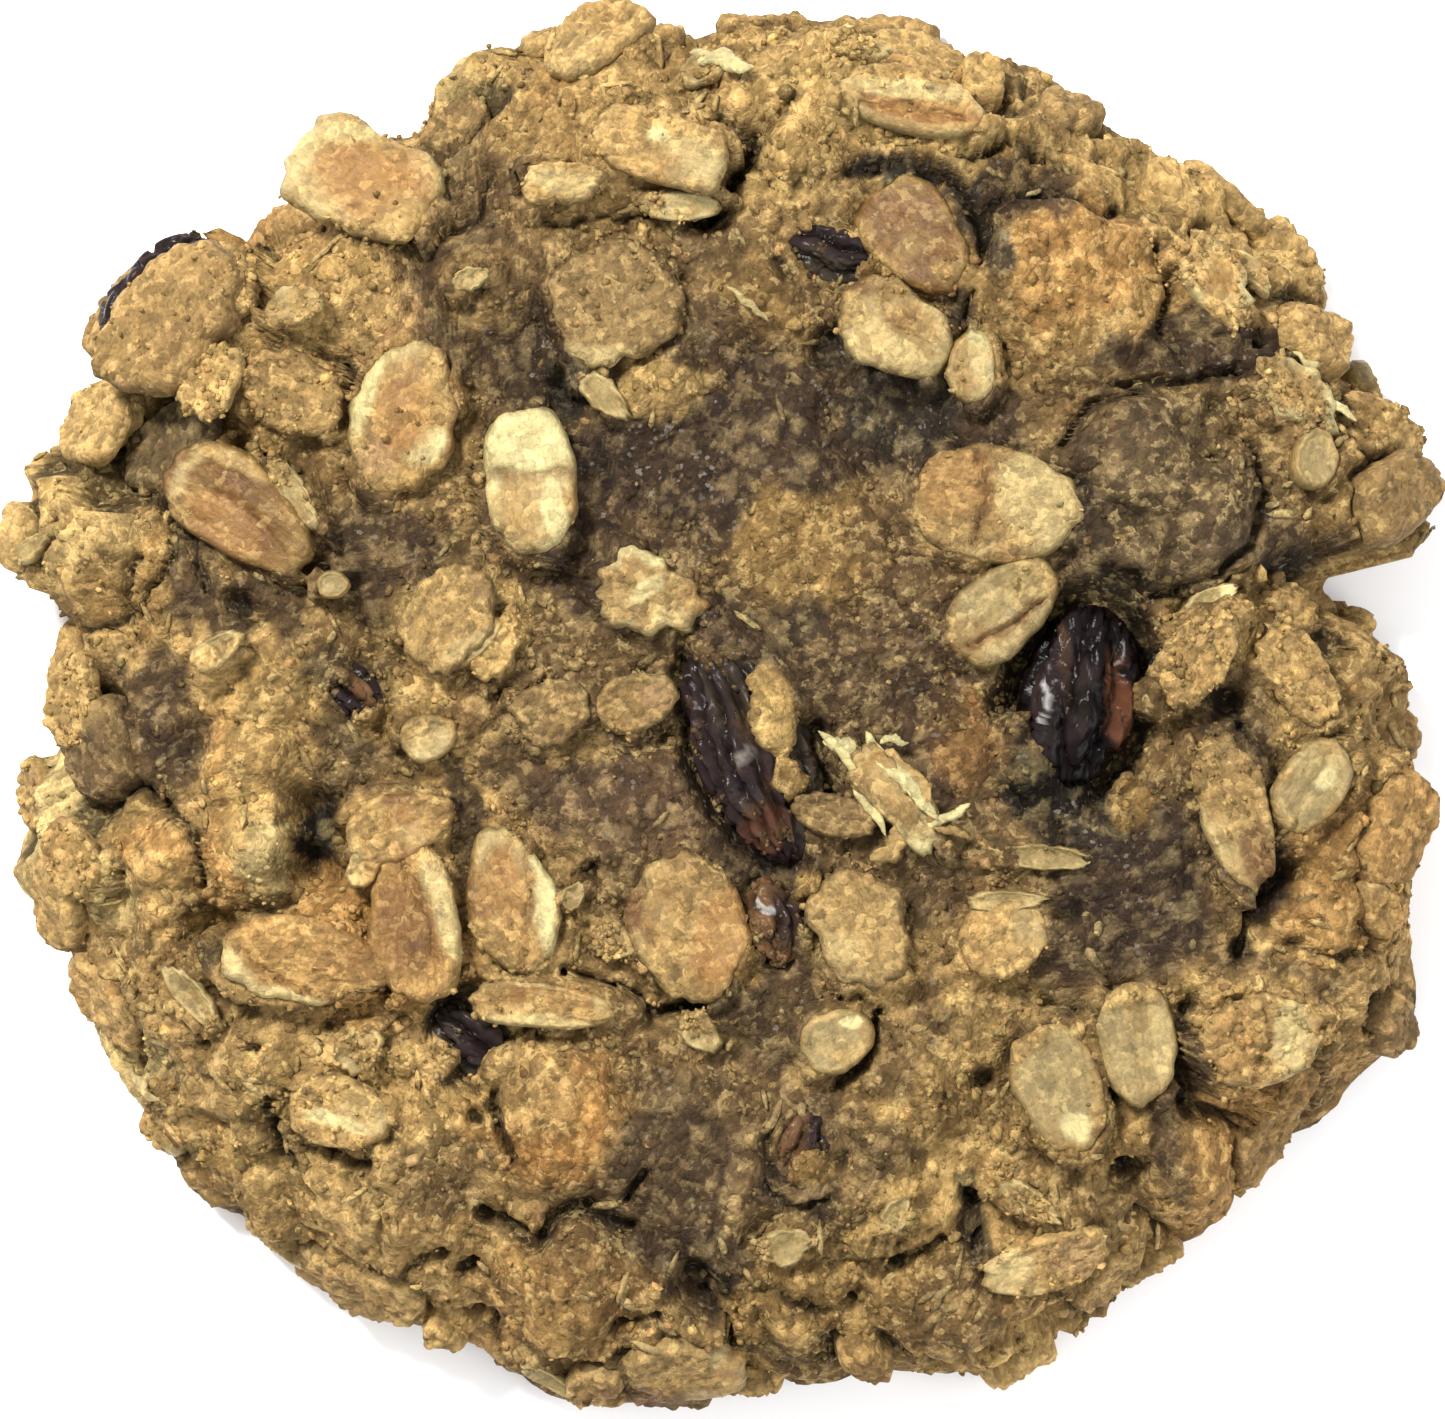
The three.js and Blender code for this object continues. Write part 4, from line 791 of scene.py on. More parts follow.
def add_mesh(name, points, faces, material, tone, **values):
    """An object from points in millimetres, with a colour and named values at each point."""
    mesh = bpy.data.meshes.new(name)
    mesh.from_pydata((points * MM).tolist(), [], faces)
    mesh.polygons.foreach_set("use_smooth", np.full(len(faces), True))
    rgba = np.concatenate([np.clip(tone, 0, 1), np.ones((len(tone), 1))], axis=-1)
    mesh.color_attributes.new("tone", "FLOAT_COLOR", "POINT").data.foreach_set("color", rgba.ravel())
    for key, value in values.items():
        kind, field = ("FLOAT", "value") if value.ndim == 1 else ("FLOAT_VECTOR", "vector")
        mesh.attributes.new(key, kind, "POINT").data.foreach_set(field, value.ravel())
    mesh.materials.append(material)
    mesh.update()
    piece = bpy.data.objects.new(name, mesh)
    bpy.context.scene.collection.objects.link(piece)
    return piece


# ---- Places on the crust -------------------------------------------------------------------------

LEVELLING = 0.35


def crust_places(x, y, lift):
    """Points at a lift over the lumpy crust that show at places in plan, and the outward directions there."""
    base_x, base_y = x, y
    for _ in range(3):
        points, normals = over_top(base_x, base_y)
        height = main_relief(points) + lift
        base_x = x - normals[:, 0] * height
        base_y = y - normals[:, 1] * height
    return points + normals * height[:, None], normals


def lying_frame(origin, normal, turn, pitch=0, roll=0):
    """Rows: along, across and up for a piece lying on the crust, tilted up at its end and at its side."""
    heading = math.radians(turn)
    along = np.array([math.cos(heading), math.sin(heading), 0])
    along -= normal * (along @ normal)
    along /= np.linalg.norm(along)
    across = np.cross(normal, along)
    along = along + math.tan(math.radians(pitch)) * normal
    across = across + math.tan(math.radians(roll)) * normal
    along /= np.linalg.norm(along)
    up = np.cross(along, across)
    up /= np.linalg.norm(up)
    return origin, np.stack([along, np.cross(up, along), up])


def top_frame(x, y, turn, lift, pitch, roll):
    """The frame of a piece on the top crust at a place in plan."""
    origins, normals = crust_places(np.array([x]), np.array([y]), lift)
    level = normals[0] + (0, 0, LEVELLING)
    return lying_frame(origins[0], level / np.linalg.norm(level), turn, pitch, roll)


def side_frame(degrees, share, tilt, lift):
    """The frame of a piece on the side wall, at a share of the section's length."""
    point, normal = smooth_surface(np.radians(degrees), share)
    origin = point + normal * (main_relief(point[None])[0] + lift)
    _, rows = lying_frame(origin, normal, degrees + 90)
    c, s = math.cos(math.radians(tilt)), math.sin(math.radians(tilt))
    turned = np.array([[c, s, 0], [-s, c, 0], [0, 0, 1]])
    return origin, turned @ rows


# Flakes of the side wall: the part's own, then smaller ones between them, drawn from ranges. Levels are
# shares of the section's length, tilts are in degrees, and small widths are shares of the lengths.
SIDE_LOOKS = ("crust", "dusty", "crumbed", "half", "crust", "dusty")
SIDE_COUNT = 13
SIDE_FIRST_BEARING = 17.5
SIDE_LEVELS = (0.79, 0.92, 0.85)
SIDE_TILTS = (-75, 20, -10, 40, 10)
SIDE_LIFT = -0.35
SIDE_SIZE = (6.6, 4.4)
SMALL_SIDE_COUNT = 40
SMALL_SIDE_SPREAD = (0.1, 0.9)
SMALL_SIDE_LEVELS = (0.77, 0.97)
SMALL_SIDE_TILTS = (-60, 60)
SMALL_SIDE_LIFTS = (-0.7, -0.3)
SMALL_SIDE_LENGTHS = (3, 6.5)
SMALL_SIDE_WIDTHS = (0.5, 0.75)


def place_side_flakes(draw):
    """Looks, frames and sizes of the flakes of the side wall."""
    flakes = []
    for i in range(SIDE_COUNT):
        degrees = SIDE_FIRST_BEARING + i * 360 / SIDE_COUNT
        level = SIDE_LEVELS[i % len(SIDE_LEVELS)]
        frame = side_frame(degrees, level, SIDE_TILTS[i % len(SIDE_TILTS)], SIDE_LIFT)
        flakes.append((SIDE_LOOKS[i % len(SIDE_LOOKS)], frame, *SIDE_SIZE))
    for i in range(SMALL_SIDE_COUNT):
        degrees = (i + draw.uniform(*SMALL_SIDE_SPREAD)) * 360 / SMALL_SIDE_COUNT
        level = draw.uniform(*SMALL_SIDE_LEVELS)
        tilt = draw.uniform(*SMALL_SIDE_TILTS)
        frame = side_frame(degrees, level, tilt, draw.uniform(*SMALL_SIDE_LIFTS))
        length = draw.uniform(*SMALL_SIDE_LENGTHS)
        look = SIDE_LOOKS[draw.integers(len(SIDE_LOOKS))]
        flakes.append((look, frame, length, length * draw.uniform(*SMALL_SIDE_WIDTHS)))
    return flakes


def place_top_flakes():
    """Looks, frames and sizes of the flakes of the top."""
    return [
        (look, top_frame(x, y, turn, lift, pitch, roll), length, width)
        for look, x, y, length, width, turn, lift, pitch, roll in FLAKES
    ]


# ---- The dough -----------------------------------------------------------------------------------

DOUGH_COUNT = 304
EDGE_STRETCH = 0.14
CLOD_SIZE = 5
CLOD_HEIGHT = 0.85
CLOD_STEP = 1
CLOD_TILT = 1.4
LUMP_SIZE = 2
LUMP_HEIGHT = 0.42
CRUMB_SIZE = 0.85
CRUMB_HEIGHT = 0.17
CREST = 13.9
CREST_PRESS = 0.7
BED_DEPTH = 0.45
BED_SLOPE = 1.6
BED_REACH = 1.7
BANK_HEIGHT = 0.85
BANK_SLOPE = 1.5


def flake_bed(points, relief, flake, salt):
    """The relief with a bed for a flake: dough is kept below it, but laps over parts of its edge."""
    look, (origin, rows), length, width = flake
    near = np.flatnonzero(np.linalg.norm(points - origin, axis=-1) < 0.7 * length + 1.5)
    u, v, w = ((points[near] - origin) @ rows.T).T
    x = 2 * u / length
    y = 2 * v / width / np.clip(1 - LOOKS[look].taper * x, 0.6, 1.6)
    bearings = np.arctan2(y, x)
    outside = (np.hypot(x, y) / flake_edge(look, bearings, salt) - 1) * width / 2
    lapping = smoothstep(-0.15, 0.2, soft_noise(circle(bearings, salt), 0.8, 243))
    crease = BED_SLOPE * np.maximum(outside - 0.1, 0) - BED_DEPTH
    bank = BANK_HEIGHT - BANK_SLOPE * abs(outside) + 0.3 * soft_noise(points[near], 0.8, 247)
    highest = crease + lapping * np.maximum(bank - crease, 0)
    lowest = np.where(bank > crease, highest - 0.3, -np.inf)
    height = np.minimum(w + relief[near], np.where(outside < BED_REACH, highest, np.inf))
    lapped = np.maximum(height, np.where(lapping > 0.5, lowest, -np.inf))
    bedded = relief.copy()
    bedded[near] = lapped - w
    return bedded


def raisin_bed(points, relief, raisin, look, salt):
    """The relief with an open socket for a raisin; dough laps over its edge in places, the more its cover."""
    centre, rows, half = raisin
    near = np.flatnonzero(np.linalg.norm(points - centre, axis=-1) < 1.5 * half[0] + 1)
    u, v, w = ((points[near] - centre) @ rows.T).T
    apart = np.hypot(u / half[0], v / half[1]) + 0.14 * layered_noise(points[near], 1.4, salt)
    open_edge = 1.6 * np.maximum(apart - 0.96, 0) * half[1] + look.edge * half[2]
    around = circle(np.arctan2(v, u), salt)
    lapping = smoothstep(-0.1, 0.2, soft_noise(around, 0.9, 249) + look.cover - 0.5)
    bank = half[2] * (1.1 - 0.5 * look.cover - 2 * abs(apart - 1 + 0.3 * look.cover))
    highest = open_edge + lapping * np.maximum(bank - open_edge, 0)
    lowest = np.where((lapping > 0.5) & (bank > open_edge), highest - 0.4, -np.inf)
    cover = cover_share(points[near])
    height = np.minimum(w + relief[near], np.where((apart < 1.45) & (cover < 0.3), highest, np.inf))
    dome = np.sqrt(np.maximum(1 - (u / half[0]) ** 2 - (v / half[1]) ** 2, 0))
    lid = half[2] * dome + COVER_HEIGHT - smoothstep(0.7, 0.3, cover)
    lid += 0.1 * soft_noise(points[near], 0.8, 253)
    covered = np.where((cover > 0.3) & (apart < 1.15), lid, -np.inf)
    bedded = relief.copy()
    bedded[near] = np.maximum(np.maximum(height, lowest), covered) - w
    return bedded


def dough_detail(points, dark):
    """Clods, lumps and crumbs on the dough: their relief, and a tone of each, uneven at random and darker
    between them as painted shade.
    """
    away = np.hypot(points[:, 0], points[:, 1])
    rough = (0.45 + 0.55 * smoothstep(8, 24, away)) * (1 - 0.6 * dark)
    rough = rough * (0.6 + 0.4 * smoothstep(3, 9, points[:, 2]))
    clod_near, clod_second, clod_tint, tilt = cell_noise(ragged(points, 2.2, 0.9, 41), CLOD_SIZE, 43)
    lump_near, lump_second, lump_tint, lump_tilt = cell_noise(ragged(points, 1.1, 0.35, 45), LUMP_SIZE, 47)
    near, second, tint, _ = cell_noise(ragged(points, 0.7, 0.15, 51), CRUMB_SIZE, 53)
    clod = pillows(clod_near, clod_second, 2.2, 0.6)
    lump = pillows(lump_near, lump_second, 1.8, 0.7)
    crumb = pillows(near, second, 2, 0.6)
    open_ground = smoothstep(-0.4, 0.3, soft_noise(points, 6, 57))
    detail = CLOD_HEIGHT * (clod - 0.85) * rough * open_ground
    detail += (CLOD_STEP * (clod_tint - 0.5) + CLOD_TILT * tilt) * rough * clod
    detail += LUMP_HEIGHT * (lump - 0.7 + 0.8 * lump_tilt) * (0.4 + 0.6 * rough)
    detail += CRUMB_HEIGHT * (crumb - 0.6) * (0.6 + 0.4 * rough)
    detail += 0.3 * layered_noise(points, 2.2, 61) * rough + 0.1 * soft_noise(points, 0.45, 67)
    # Painted shade: the tone darkens where the clods, lumps and crumbs meet.
    painted_seam_shade = 0.5 * (1 - clod) * rough * open_ground + 0.3 * (1 - lump) + 0.25 * (1 - crumb)
    shade = 1.07 - 0.65 * painted_seam_shade + 0.35 * (tint - 0.5)
    shade = shade + 0.22 * (lump_tint - 0.5) + 0.22 * (clod_tint - 0.5) * rough
    return detail, shade, tint


def dough_surface(disc, top_flakes, side_flakes, raisins):
    """Points of the dough, with its colour and how crumbly and how moist it is."""
    rings, bearings, _ = disc
    on_top = rings <= 1
    steps = np.where(on_top, rings, 1)
    shares = (1 - EDGE_STRETCH) * steps + EDGE_STRETCH * steps**6
    points, normals = smooth_surface(bearings, shares)
    under = ~on_top
    points[under, :2] *= np.minimum(2 - rings[under], 1)[:, None]
    points[under, 2] = 0
    fade = smoothstep(*FOOT_FADE, points[:, 2])

    dark = dark_share(points)
    main = main_relief(points)
    detail, shade, tint = dough_detail(points, dark)
    pits = domes(frayed(points, PIT_FRAY), PITS)
    relief = main + (detail - crack_depth(points, CRACKS) - pits) * fade
    for first_salt, flakes in ((TOP_SALT, top_flakes), (SIDE_SALT, side_flakes)):
        for i, flake in enumerate(flakes):
            relief = flake_bed(points, relief, flake, first_salt + i)
    for i, (name, raisin) in enumerate(raisins.items()):
        relief = raisin_bed(points, relief, raisin, RAISIN_LOOKS[name], RAISIN_SALT + i)
    relief = np.where(points[:, 2] > 0, relief, 0)
    sunk = np.maximum(main + detail * fade - relief, 0)

    tone = dough_tone(points, shade, tint, sunk)
    shown = points + normals * relief[:, None]
    pressed = CREST_PRESS * np.maximum(shown[:, 2] - CREST, 0) * (1 - cover_share(points))
    shown[:, 2] = np.maximum(shown[:, 2] - pressed, 0)
    return shown, tone, 1 - 0.75 * dark, dark


def ground_tone(points):
    """The dough's broad colour: its base, with the patches and the covers laid over it."""
    broad = layered_noise(points, 7, 81)
    tone = blend(linear("tan"), linear("ochre"), smoothstep(-0.5, 0.6, broad))
    tone = blend(tone, linear("gold"), 0.6 * smoothstep(0, 0.6, layered_noise(points, 3, 83)))
    tone = blend(tone, linear("orange"), 0.25 * smoothstep(0.1, 0.6, layered_noise(points, 4.5, 85)))
    tone = blend(tone, linear("foot"), 0.8 * smoothstep(3.5, 0.5, points[:, 2]))
    tone = painted(tone, frayed(points, PATCH_FRAY), PATCHES)
    return painted(tone, frayed(points, COVER_FRAY), COVERS)


def dough_tone(points, shade, tint, sunk):
    """The dough's colour: its ground, crumbs of uneven tone, and painted shade in the crevices."""
    tone = ground_tone(points) * (shade + 0.3 * layered_noise(points, 0.5, 91))[:, None]
    tone = blend(tone, 1.15 * tone + 0.12 * linear("cream"), smoothstep(0.75, 0.9, tint))
    # Painted shade: darker towards the darkest palette colour the further the dough is sunk below its lumps.
    return blend(tone, linear("painted_shade"), 0.85 * smoothstep(0.2, 0.9, sunk))


def make_dough(top_flakes, side_flakes, raisins, material):
    """The whole dough as one mesh, with beds for the flakes and sockets for the raisins."""
    disc = closed_disc(DOUGH_COUNT)
    points, tone, grain, moist = dough_surface(disc, top_flakes, side_flakes, raisins)
    return add_mesh("dough", points, disc[2], material, tone, grain=grain, moist=moist)


# ---- Flakes --------------------------------------------------------------------------------------

FIBRE_SIZE = np.array([2.4, 0.45, 1])
APART = (13.7, 5.3)
FLAKE_COUNT = 28
SIDE_FLAKE_COUNT = 20
TOP_SALT = 0
SIDE_SALT = 1000
OAT_SHARE = 0.67
MARK_SHARE = 0.8
MARK_BARES = 0.6
HIGHEST = 15.1
ABOVE_FLOOR = 0.02


def circle(bearings, salt):
    """Points round a circle, each salt's at a place of its own in the noise."""
    x, y = np.cos(bearings) + APART[0] * salt, np.sin(bearings) + APART[1] * salt
    return np.stack([x, y, 0 * bearings], axis=-1)


def flake_edge(look, bearings, salt):
    """How far a flake's edge reaches out of its oval."""
    torn = LOOKS[look].torn
    around = circle(bearings, salt)
    power = LOOKS[look].square + 0.6 * (hashed(np.array([[salt, 2, 0]]), 227) - 0.5)
    oval = (abs(np.cos(bearings)) ** power + abs(np.sin(bearings)) ** power) ** (-1 / power)
    bites = (torn + 0.05) * layered_noise(around, 0.8, 201)
    return oval * (1 + bites + 0.6 * torn * soft_noise(around, 0.22, 203))


def flake_form(disc, look, length, width, ground, salt):
    """One flake in its own frame: points, colours, and how much crumb lies on it."""
    kind = LOOKS[look]
    rings, bearings, _ = disc
    flat = np.minimum(rings, 2 - rings)
    around = circle(bearings, salt)
    edge = flake_edge(look, bearings, salt)
    x = flat * np.cos(bearings) * edge
    y = flat * np.sin(bearings) * edge * (1 - kind.taper * flat * np.cos(bearings))
    place = np.stack([x * length / 2, y * width / 2, np.zeros(len(x))], axis=-1)
    noise_at = place + (APART[0] * salt, APART[1] * salt, 0)

    body = np.sqrt(np.maximum(1 - flat**5, 0)) * kind.thickness / 2
    rim_rise = 0.16 * np.exp(-(((flat - 0.84) / 0.12) ** 2)) * (1 + soft_noise(around, 0.9, 205))
    groove = kind.crease * np.exp(-((place[:, 1] / 0.3) ** 2)) * (1 - flat**2)
    waves = (0.14 + 0.3 * kind.ground) * layered_noise(noise_at, 1.7, 212)
    waves = waves + 0.05 * soft_noise(noise_at, FIBRE_SIZE, 211)
    near, second, tint, _ = cell_noise(ragged(noise_at, 0.6, 0.15, 213), 0.75, 217)
    crumb = pillows(near, second, 2, 0.6)
    bared = kind.lean * x
    coated = smoothstep(0.3, -0.2, layered_noise(noise_at, 2, 221) + 0.8 - 1.7 * kind.coat + bared)
    top = body + rim_rise - groove - 0.14 * (1 - flat**2) + waves + coated * (0.12 + 0.3 * (crumb - 0.4))
    bend, twist = hashed(np.array([[salt, 0, 0], [salt, 1, 0]]), 227) - 0.5
    z = np.where(rings <= 1, top, -body) + 0.6 * bend * (x**2 - 0.4) + 0.5 * twist * x * y

    tone = OAT_SHARE * flake_tone(kind, noise_at, around, flat, bared, coated)
    tone = tone + kind.ground * (ground * tone / tone.mean(axis=0) - tone)
    gold_share = 0.45 * (1 - kind.ground)
    crumb_tone = (1 - gold_share) * ground + gold_share * linear("gold")
    # The crumb on a flake gets a random tone, and painted shade where its grains meet.
    crumb_tone = crumb_tone * (0.6 + 0.35 * crumb + 0.45 * tint)[:, None]
    # The blend puts the crumb over the flake; the flake is then darkened in a band round its edge, painted
    # shade.
    tone = blend(tone, crumb_tone, 0.75 * coated) * (1 - 0.35 * smoothstep(0.93, 1.0, flat))[:, None]
    return np.stack([place[:, 0], place[:, 1], z], axis=-1), tone, coated


def flake_tone(kind, noise_at, around, flat, bared, coated):
    """Mottled colour of a flake, with its rim's own colour round part of it."""
    broad = layered_noise(noise_at, 2, 231)
    fine = layered_noise(noise_at, 0.6, 235)
    mottle = cell_noise(ragged(noise_at, 0.8, 0.25, 239), 0.9, 241)[2] - 0.5
    rim_part = smoothstep(-0.4, 0.4, soft_noise(around, 0.9, 237) + 0.1)
    rim_start = 1 - kind.rim_width
    rim_share = rim_part * smoothstep(rim_start - 0.15, rim_start + 0.1, flat + 0.15 * broad + bared)
    paler = 0.5 * smoothstep(0, -0.5, broad + 0.3 * fine)
    tone = blend(linear(kind.middle), linear(kind.rim), paler)
    stained = (0.2 + kind.coat) * smoothstep(0.05, 0.5, broad + 0.3 * mottle + 0.4 * fine)
    tone = blend(tone, linear(kind.stain), stained)
    tone = blend(tone, linear(kind.rim), 0.9 * rim_share)
    return tone * (1 + (0.1 + 0.4 * coated) * (fine + mottle))[:, None]


def make_flakes(name, flakes, count, material, first_salt):
    """One piece holding a list of flakes."""
    disc = closed_disc(count)
    parts = {"points": [], "tone": [], "grain": [], "fibre": []}
    faces = []
    for i, (look, (origin, rows), length, width) in enumerate(flakes):
        ground = ground_tone(origin[None])
        points, tone, coated = flake_form(disc, look, length, width, ground, first_salt + i)
        start = i * len(points)
        faces += [[start + corner for corner in face] for face in disc[2]]
        parts["points"].append(origin + points @ rows)
        parts["tone"].append(tone)
        parts["grain"].append(coated)
        parts["fibre"].append(points + (0, 10.0 * i, 0))
    points, tone, grain, fibre = [np.concatenate(part) for part in parts.values()]
    uneven = frayed(points, MARK_FRAY)
    for colour, *oval, strength in FLAKE_MARKS:
        weight = strength * patch_weight(uneven, *oval)
        tone = blend(tone, MARK_SHARE * linear(colour), weight)
        grain = grain * (1 - MARK_BARES * weight)
    groove = crack_depth(points, FLAKE_GROOVES)
    # Painted shade: the flakes darken in their grooves, the more the further the groove is cut.
    tone = blend(tone, linear("bark"), np.clip(1.6 * groove, 0, 0.8))
    points[:, 2] = np.clip(points[:, 2] - groove, ABOVE_FLOOR, HIGHEST)
    return add_mesh(name, points, faces, material, tone, grain=grain, fibre=fibre)


# ---- Strips --------------------------------------------------------------------------------------

STRIP_SIDES = 12
STRIP_STEPS = 24
STRIP_SALT = 400


def rounded(line, times):
    """The line with its corners smoothed; its ends stay."""
    line = line.copy()
    for _ in range(times):
        line[1:-1] = (line[:-2] + 2 * line[1:-1] + line[2:]) / 4
    return line


def strip_form(width, thickness, lift, route, salt):
    """Points of a strip with rounded section and thin ends that follows the crust under its route."""
    corners = np.array(route, float)
    length = np.append(0, np.cumsum(np.linalg.norm(np.diff(corners, axis=0), axis=-1)))
    at = np.linspace(0, length[-1], STRIP_STEPS)
    line = np.stack([np.interp(at, length, corners[:, axis]) for axis in (0, 1)], axis=-1)
    centre, normals = crust_places(*rounded(line, 3).T, lift)
    centre = rounded(centre, 4)
    heading = np.gradient(centre, axis=0)
    heading /= np.linalg.norm(heading, axis=-1, keepdims=True)
    across = np.cross(normals, heading)
    up = np.cross(heading, across)
    part = np.linspace(-1, 1, STRIP_STEPS)
    girth = np.maximum(1 - abs(part) ** 2.5, 0) ** 0.7 + 0.03
    angle = FULL_TURN * np.arange(STRIP_SIDES) / STRIP_SIDES
    rows = []
    for i in range(STRIP_STEPS):
        around = np.stack([np.cos(angle), np.sin(angle), np.full(STRIP_SIDES, 0.45 * i)], axis=-1)
        wobble = 1 + 0.65 * layered_noise(around, 0.7, salt)
        bend = 0.25 * width * soft_noise(np.array([[0.3 * i, salt, 0]]), 1, 461)[0] * across[i]
        out = np.cos(angle)[:, None] * across[i] * width + np.sin(angle)[:, None] * up[i] * thickness
        rows.append(centre[i] + bend + 0.5 * girth[i] * wobble[:, None] * out)
    return np.concatenate(rows)


def tube_faces(start):
    """Faces of a closed tube with STRIP_STEPS rows, its first corner numbered start."""
    faces = []
    for row in range(STRIP_STEPS - 1):
        for side in range(STRIP_SIDES):
            a, b = row * STRIP_SIDES + side, row * STRIP_SIDES + (side + 1) % STRIP_SIDES
            faces.append([start + a, start + b, start + b + STRIP_SIDES, start + a + STRIP_SIDES])
    last = start + (STRIP_STEPS - 1) * STRIP_SIDES
    faces.append([start + side for side in reversed(range(STRIP_SIDES))])
    faces.append([last + side for side in range(STRIP_SIDES)])
    return faces


def make_strips(material):
    """One piece holding the curled edges, strips and shreds."""
    points, tones, fibres, faces = [], [], [], []
    for i, (name, width, thickness, lift, route) in enumerate(STRIPS):
        strip = strip_form(width, thickness, lift, route, STRIP_SALT + i)
        faces += tube_faces(i * len(strip))
        points.append(strip)
        tones.append(OAT_SHARE * linear(name) * (1 + 0.35 * layered_noise(strip, 0.7, 450))[:, None])
        fibres.append(strip)
    points, tone, fibre = np.concatenate(points), np.concatenate(tones), np.concatenate(fibres)
    return add_mesh("strips", points, faces, material, tone, grain=np.full(len(points), 0.4), fibre=fibre)


# ---- Crumbs --------------------------------------------------------------------------------------

# Counts of the crumbs and their least and greatest sizes.
LARGE_CRUMBS = (7000, (0.35, 1))
FINE_SIZES = (0.25, 0.6)
SMALL_COUNT = 8000
ON_OATS_COUNT = 4000
ON_RAISIN_COUNT = 400
BRAN_COUNT = 350


def crumb_ball():
    """The 12 corners and 20 faces of a regular ball."""
    g = (1 + math.sqrt(5)) / 2
    corners = [(-1, g, 0), (1, g, 0), (-1, -g, 0), (1, -g, 0), (0, -1, g), (0, 1, g), (0, -1, -g), (0, 1, -g)]
    corners += [(g, 0, -1), (g, 0, 1), (-g, 0, -1), (-g, 0, 1)]
    corners = np.array(corners) / math.hypot(1, g)
    close = 1.1
    faces = []
    for a in range(12):
        for b in range(a + 1, 12):
            for c in range(b + 1, 12):
                sides = [np.linalg.norm(corners[p] - corners[q]) for p, q in ((a, b), (b, c), (c, a))]
                if max(sides) < close:
                    outward = np.cross(corners[b] - corners[a], corners[c] - corners[a]) @ corners[a] > 0
                    faces.append((a, b, c) if outward else (a, c, b))
    return corners, np.array(faces)


BALL_CORNERS, BALL_FACES = crumb_ball()


def surface_data(piece):
    """Points in millimetres, normals, and the stored values of a piece's mesh."""
    mesh = piece.data
    count = len(mesh.vertices)
    points, normals = np.zeros(3 * count), np.zeros(3 * count)
    mesh.vertices.foreach_get("co", points)
    mesh.vertices.foreach_get("normal", normals)
    rgba = np.zeros(4 * count)
    mesh.color_attributes["tone"].data.foreach_get("color", rgba)
    grain = np.zeros(count)
    mesh.attributes["grain"].data.foreach_get("value", grain)
    return points.reshape(-1, 3) / MM, normals.reshape(-1, 3), rgba.reshape(-1, 4)[:, :3], grain


def scatter(name, centres, frames, shapes, tones, material):
    """Many small bodies as one piece: `shapes` are their corners in frames of their own."""
    count, corner_count, _ = shapes.shape
    points = centres[:, None] + shapes @ frames
    points[..., 2] = np.maximum(points[..., 2], ABOVE_FLOOR)
    faces = BALL_FACES + corner_count * np.arange(count)[:, None, None]
    faces = faces.reshape(-1, 3).tolist()
    tone = np.repeat(tones, corner_count, axis=0)
    grain = np.ones(count * corner_count)
    return add_mesh(name, points.reshape(-1, 3), faces, material, tone, grain=grain, moist=0 * grain)


def make_crumbs(name, piece, count, sizes, material, draw):
    """Crumbs baked onto a piece, most where it is crumbly."""
    points, normals, tone, grain = surface_data(piece)
    clustered = 0.25 + 0.75 * smoothstep(-0.1, 0.4, layered_noise(points, 3, 601))
    height = points[:, 2]
    likely = grain**1.5 * clustered * smoothstep(1.2, 7, height) * (height < CREST)
    chosen = draw.choice(len(points), count, p=likely / likely.sum())
    low, high = sizes
    size = low + (high - low) * draw.random(count) ** 2.2
    frames = np.linalg.qr(draw.normal(size=(count, 3, 3)))[0]
    frames[np.linalg.det(frames) < 0, 0] *= -1
    shapes = BALL_CORNERS * draw.uniform(0.65, 1.3, (count, 12, 1))
    shapes = shapes * draw.uniform(0.6, 1.25, (count, 1, 3))
    centres = points[chosen] - normals[chosen] * (0.3 * size)[:, None] + draw.normal(0, 0.1, (count, 3))
    own = blend(tone[chosen], linear("gold"), 0.2 * grain[chosen])
    tint = np.exp(draw.normal(-0.05, 0.22, (count, 1)) + draw.normal(0, 0.03, (count, 3)))
    return scatter(name, centres, frames, 0.5 * size[:, None, None] * shapes, own * tint, material)


def make_bran(piece, count, material, draw):
    """Pale shreds of bran lying on the dough, most towards the rim."""
    points, normals, tone, grain = surface_data(piece)
    likely = grain * smoothstep(3, 7, points[:, 2]) * smoothstep(13.5, 11, points[:, 2])
    likely *= smoothstep(-0.2, 0.4, layered_noise(points, 4, 611))
    chosen = draw.choice(len(points), count, p=likely / likely.sum())
    up = normals[chosen]
    along = np.cross(up, draw.normal(size=(count, 3)))
    along /= np.linalg.norm(along, axis=-1, keepdims=True)
    frames = np.stack([along, np.cross(up, along), up], axis=1)
    lengths, widths = draw.uniform(0.8, 2.2, count), draw.uniform(0.3, 0.6, count)
    sizes = np.stack([lengths, widths, np.full(count, 0.3)], axis=-1)
    shapes = BALL_CORNERS * draw.uniform(0.7, 1.3, (count, 12, 1)) * 0.5 * sizes[:, None]
    tones = blend(tone[chosen], linear("cream"), draw.uniform(0.05, 0.45, count))
    return scatter("bran", points[chosen] + 0.05 * up, frames, shapes, tones, material)


# ---- Raisins -------------------------------------------------------------------------------------

RAISIN_COUNT = 48
WRINKLE_SIZE = np.array([1.1, 0.45, 0.45])
RAISIN_APART = 17.0

RaisinLook = namedtuple("RaisinLook", "main second second_at edge cover crumb folds wander")

# An edge this high, with a cover this low, leaves the dough round a raisin as it is.
NO_BED = 9

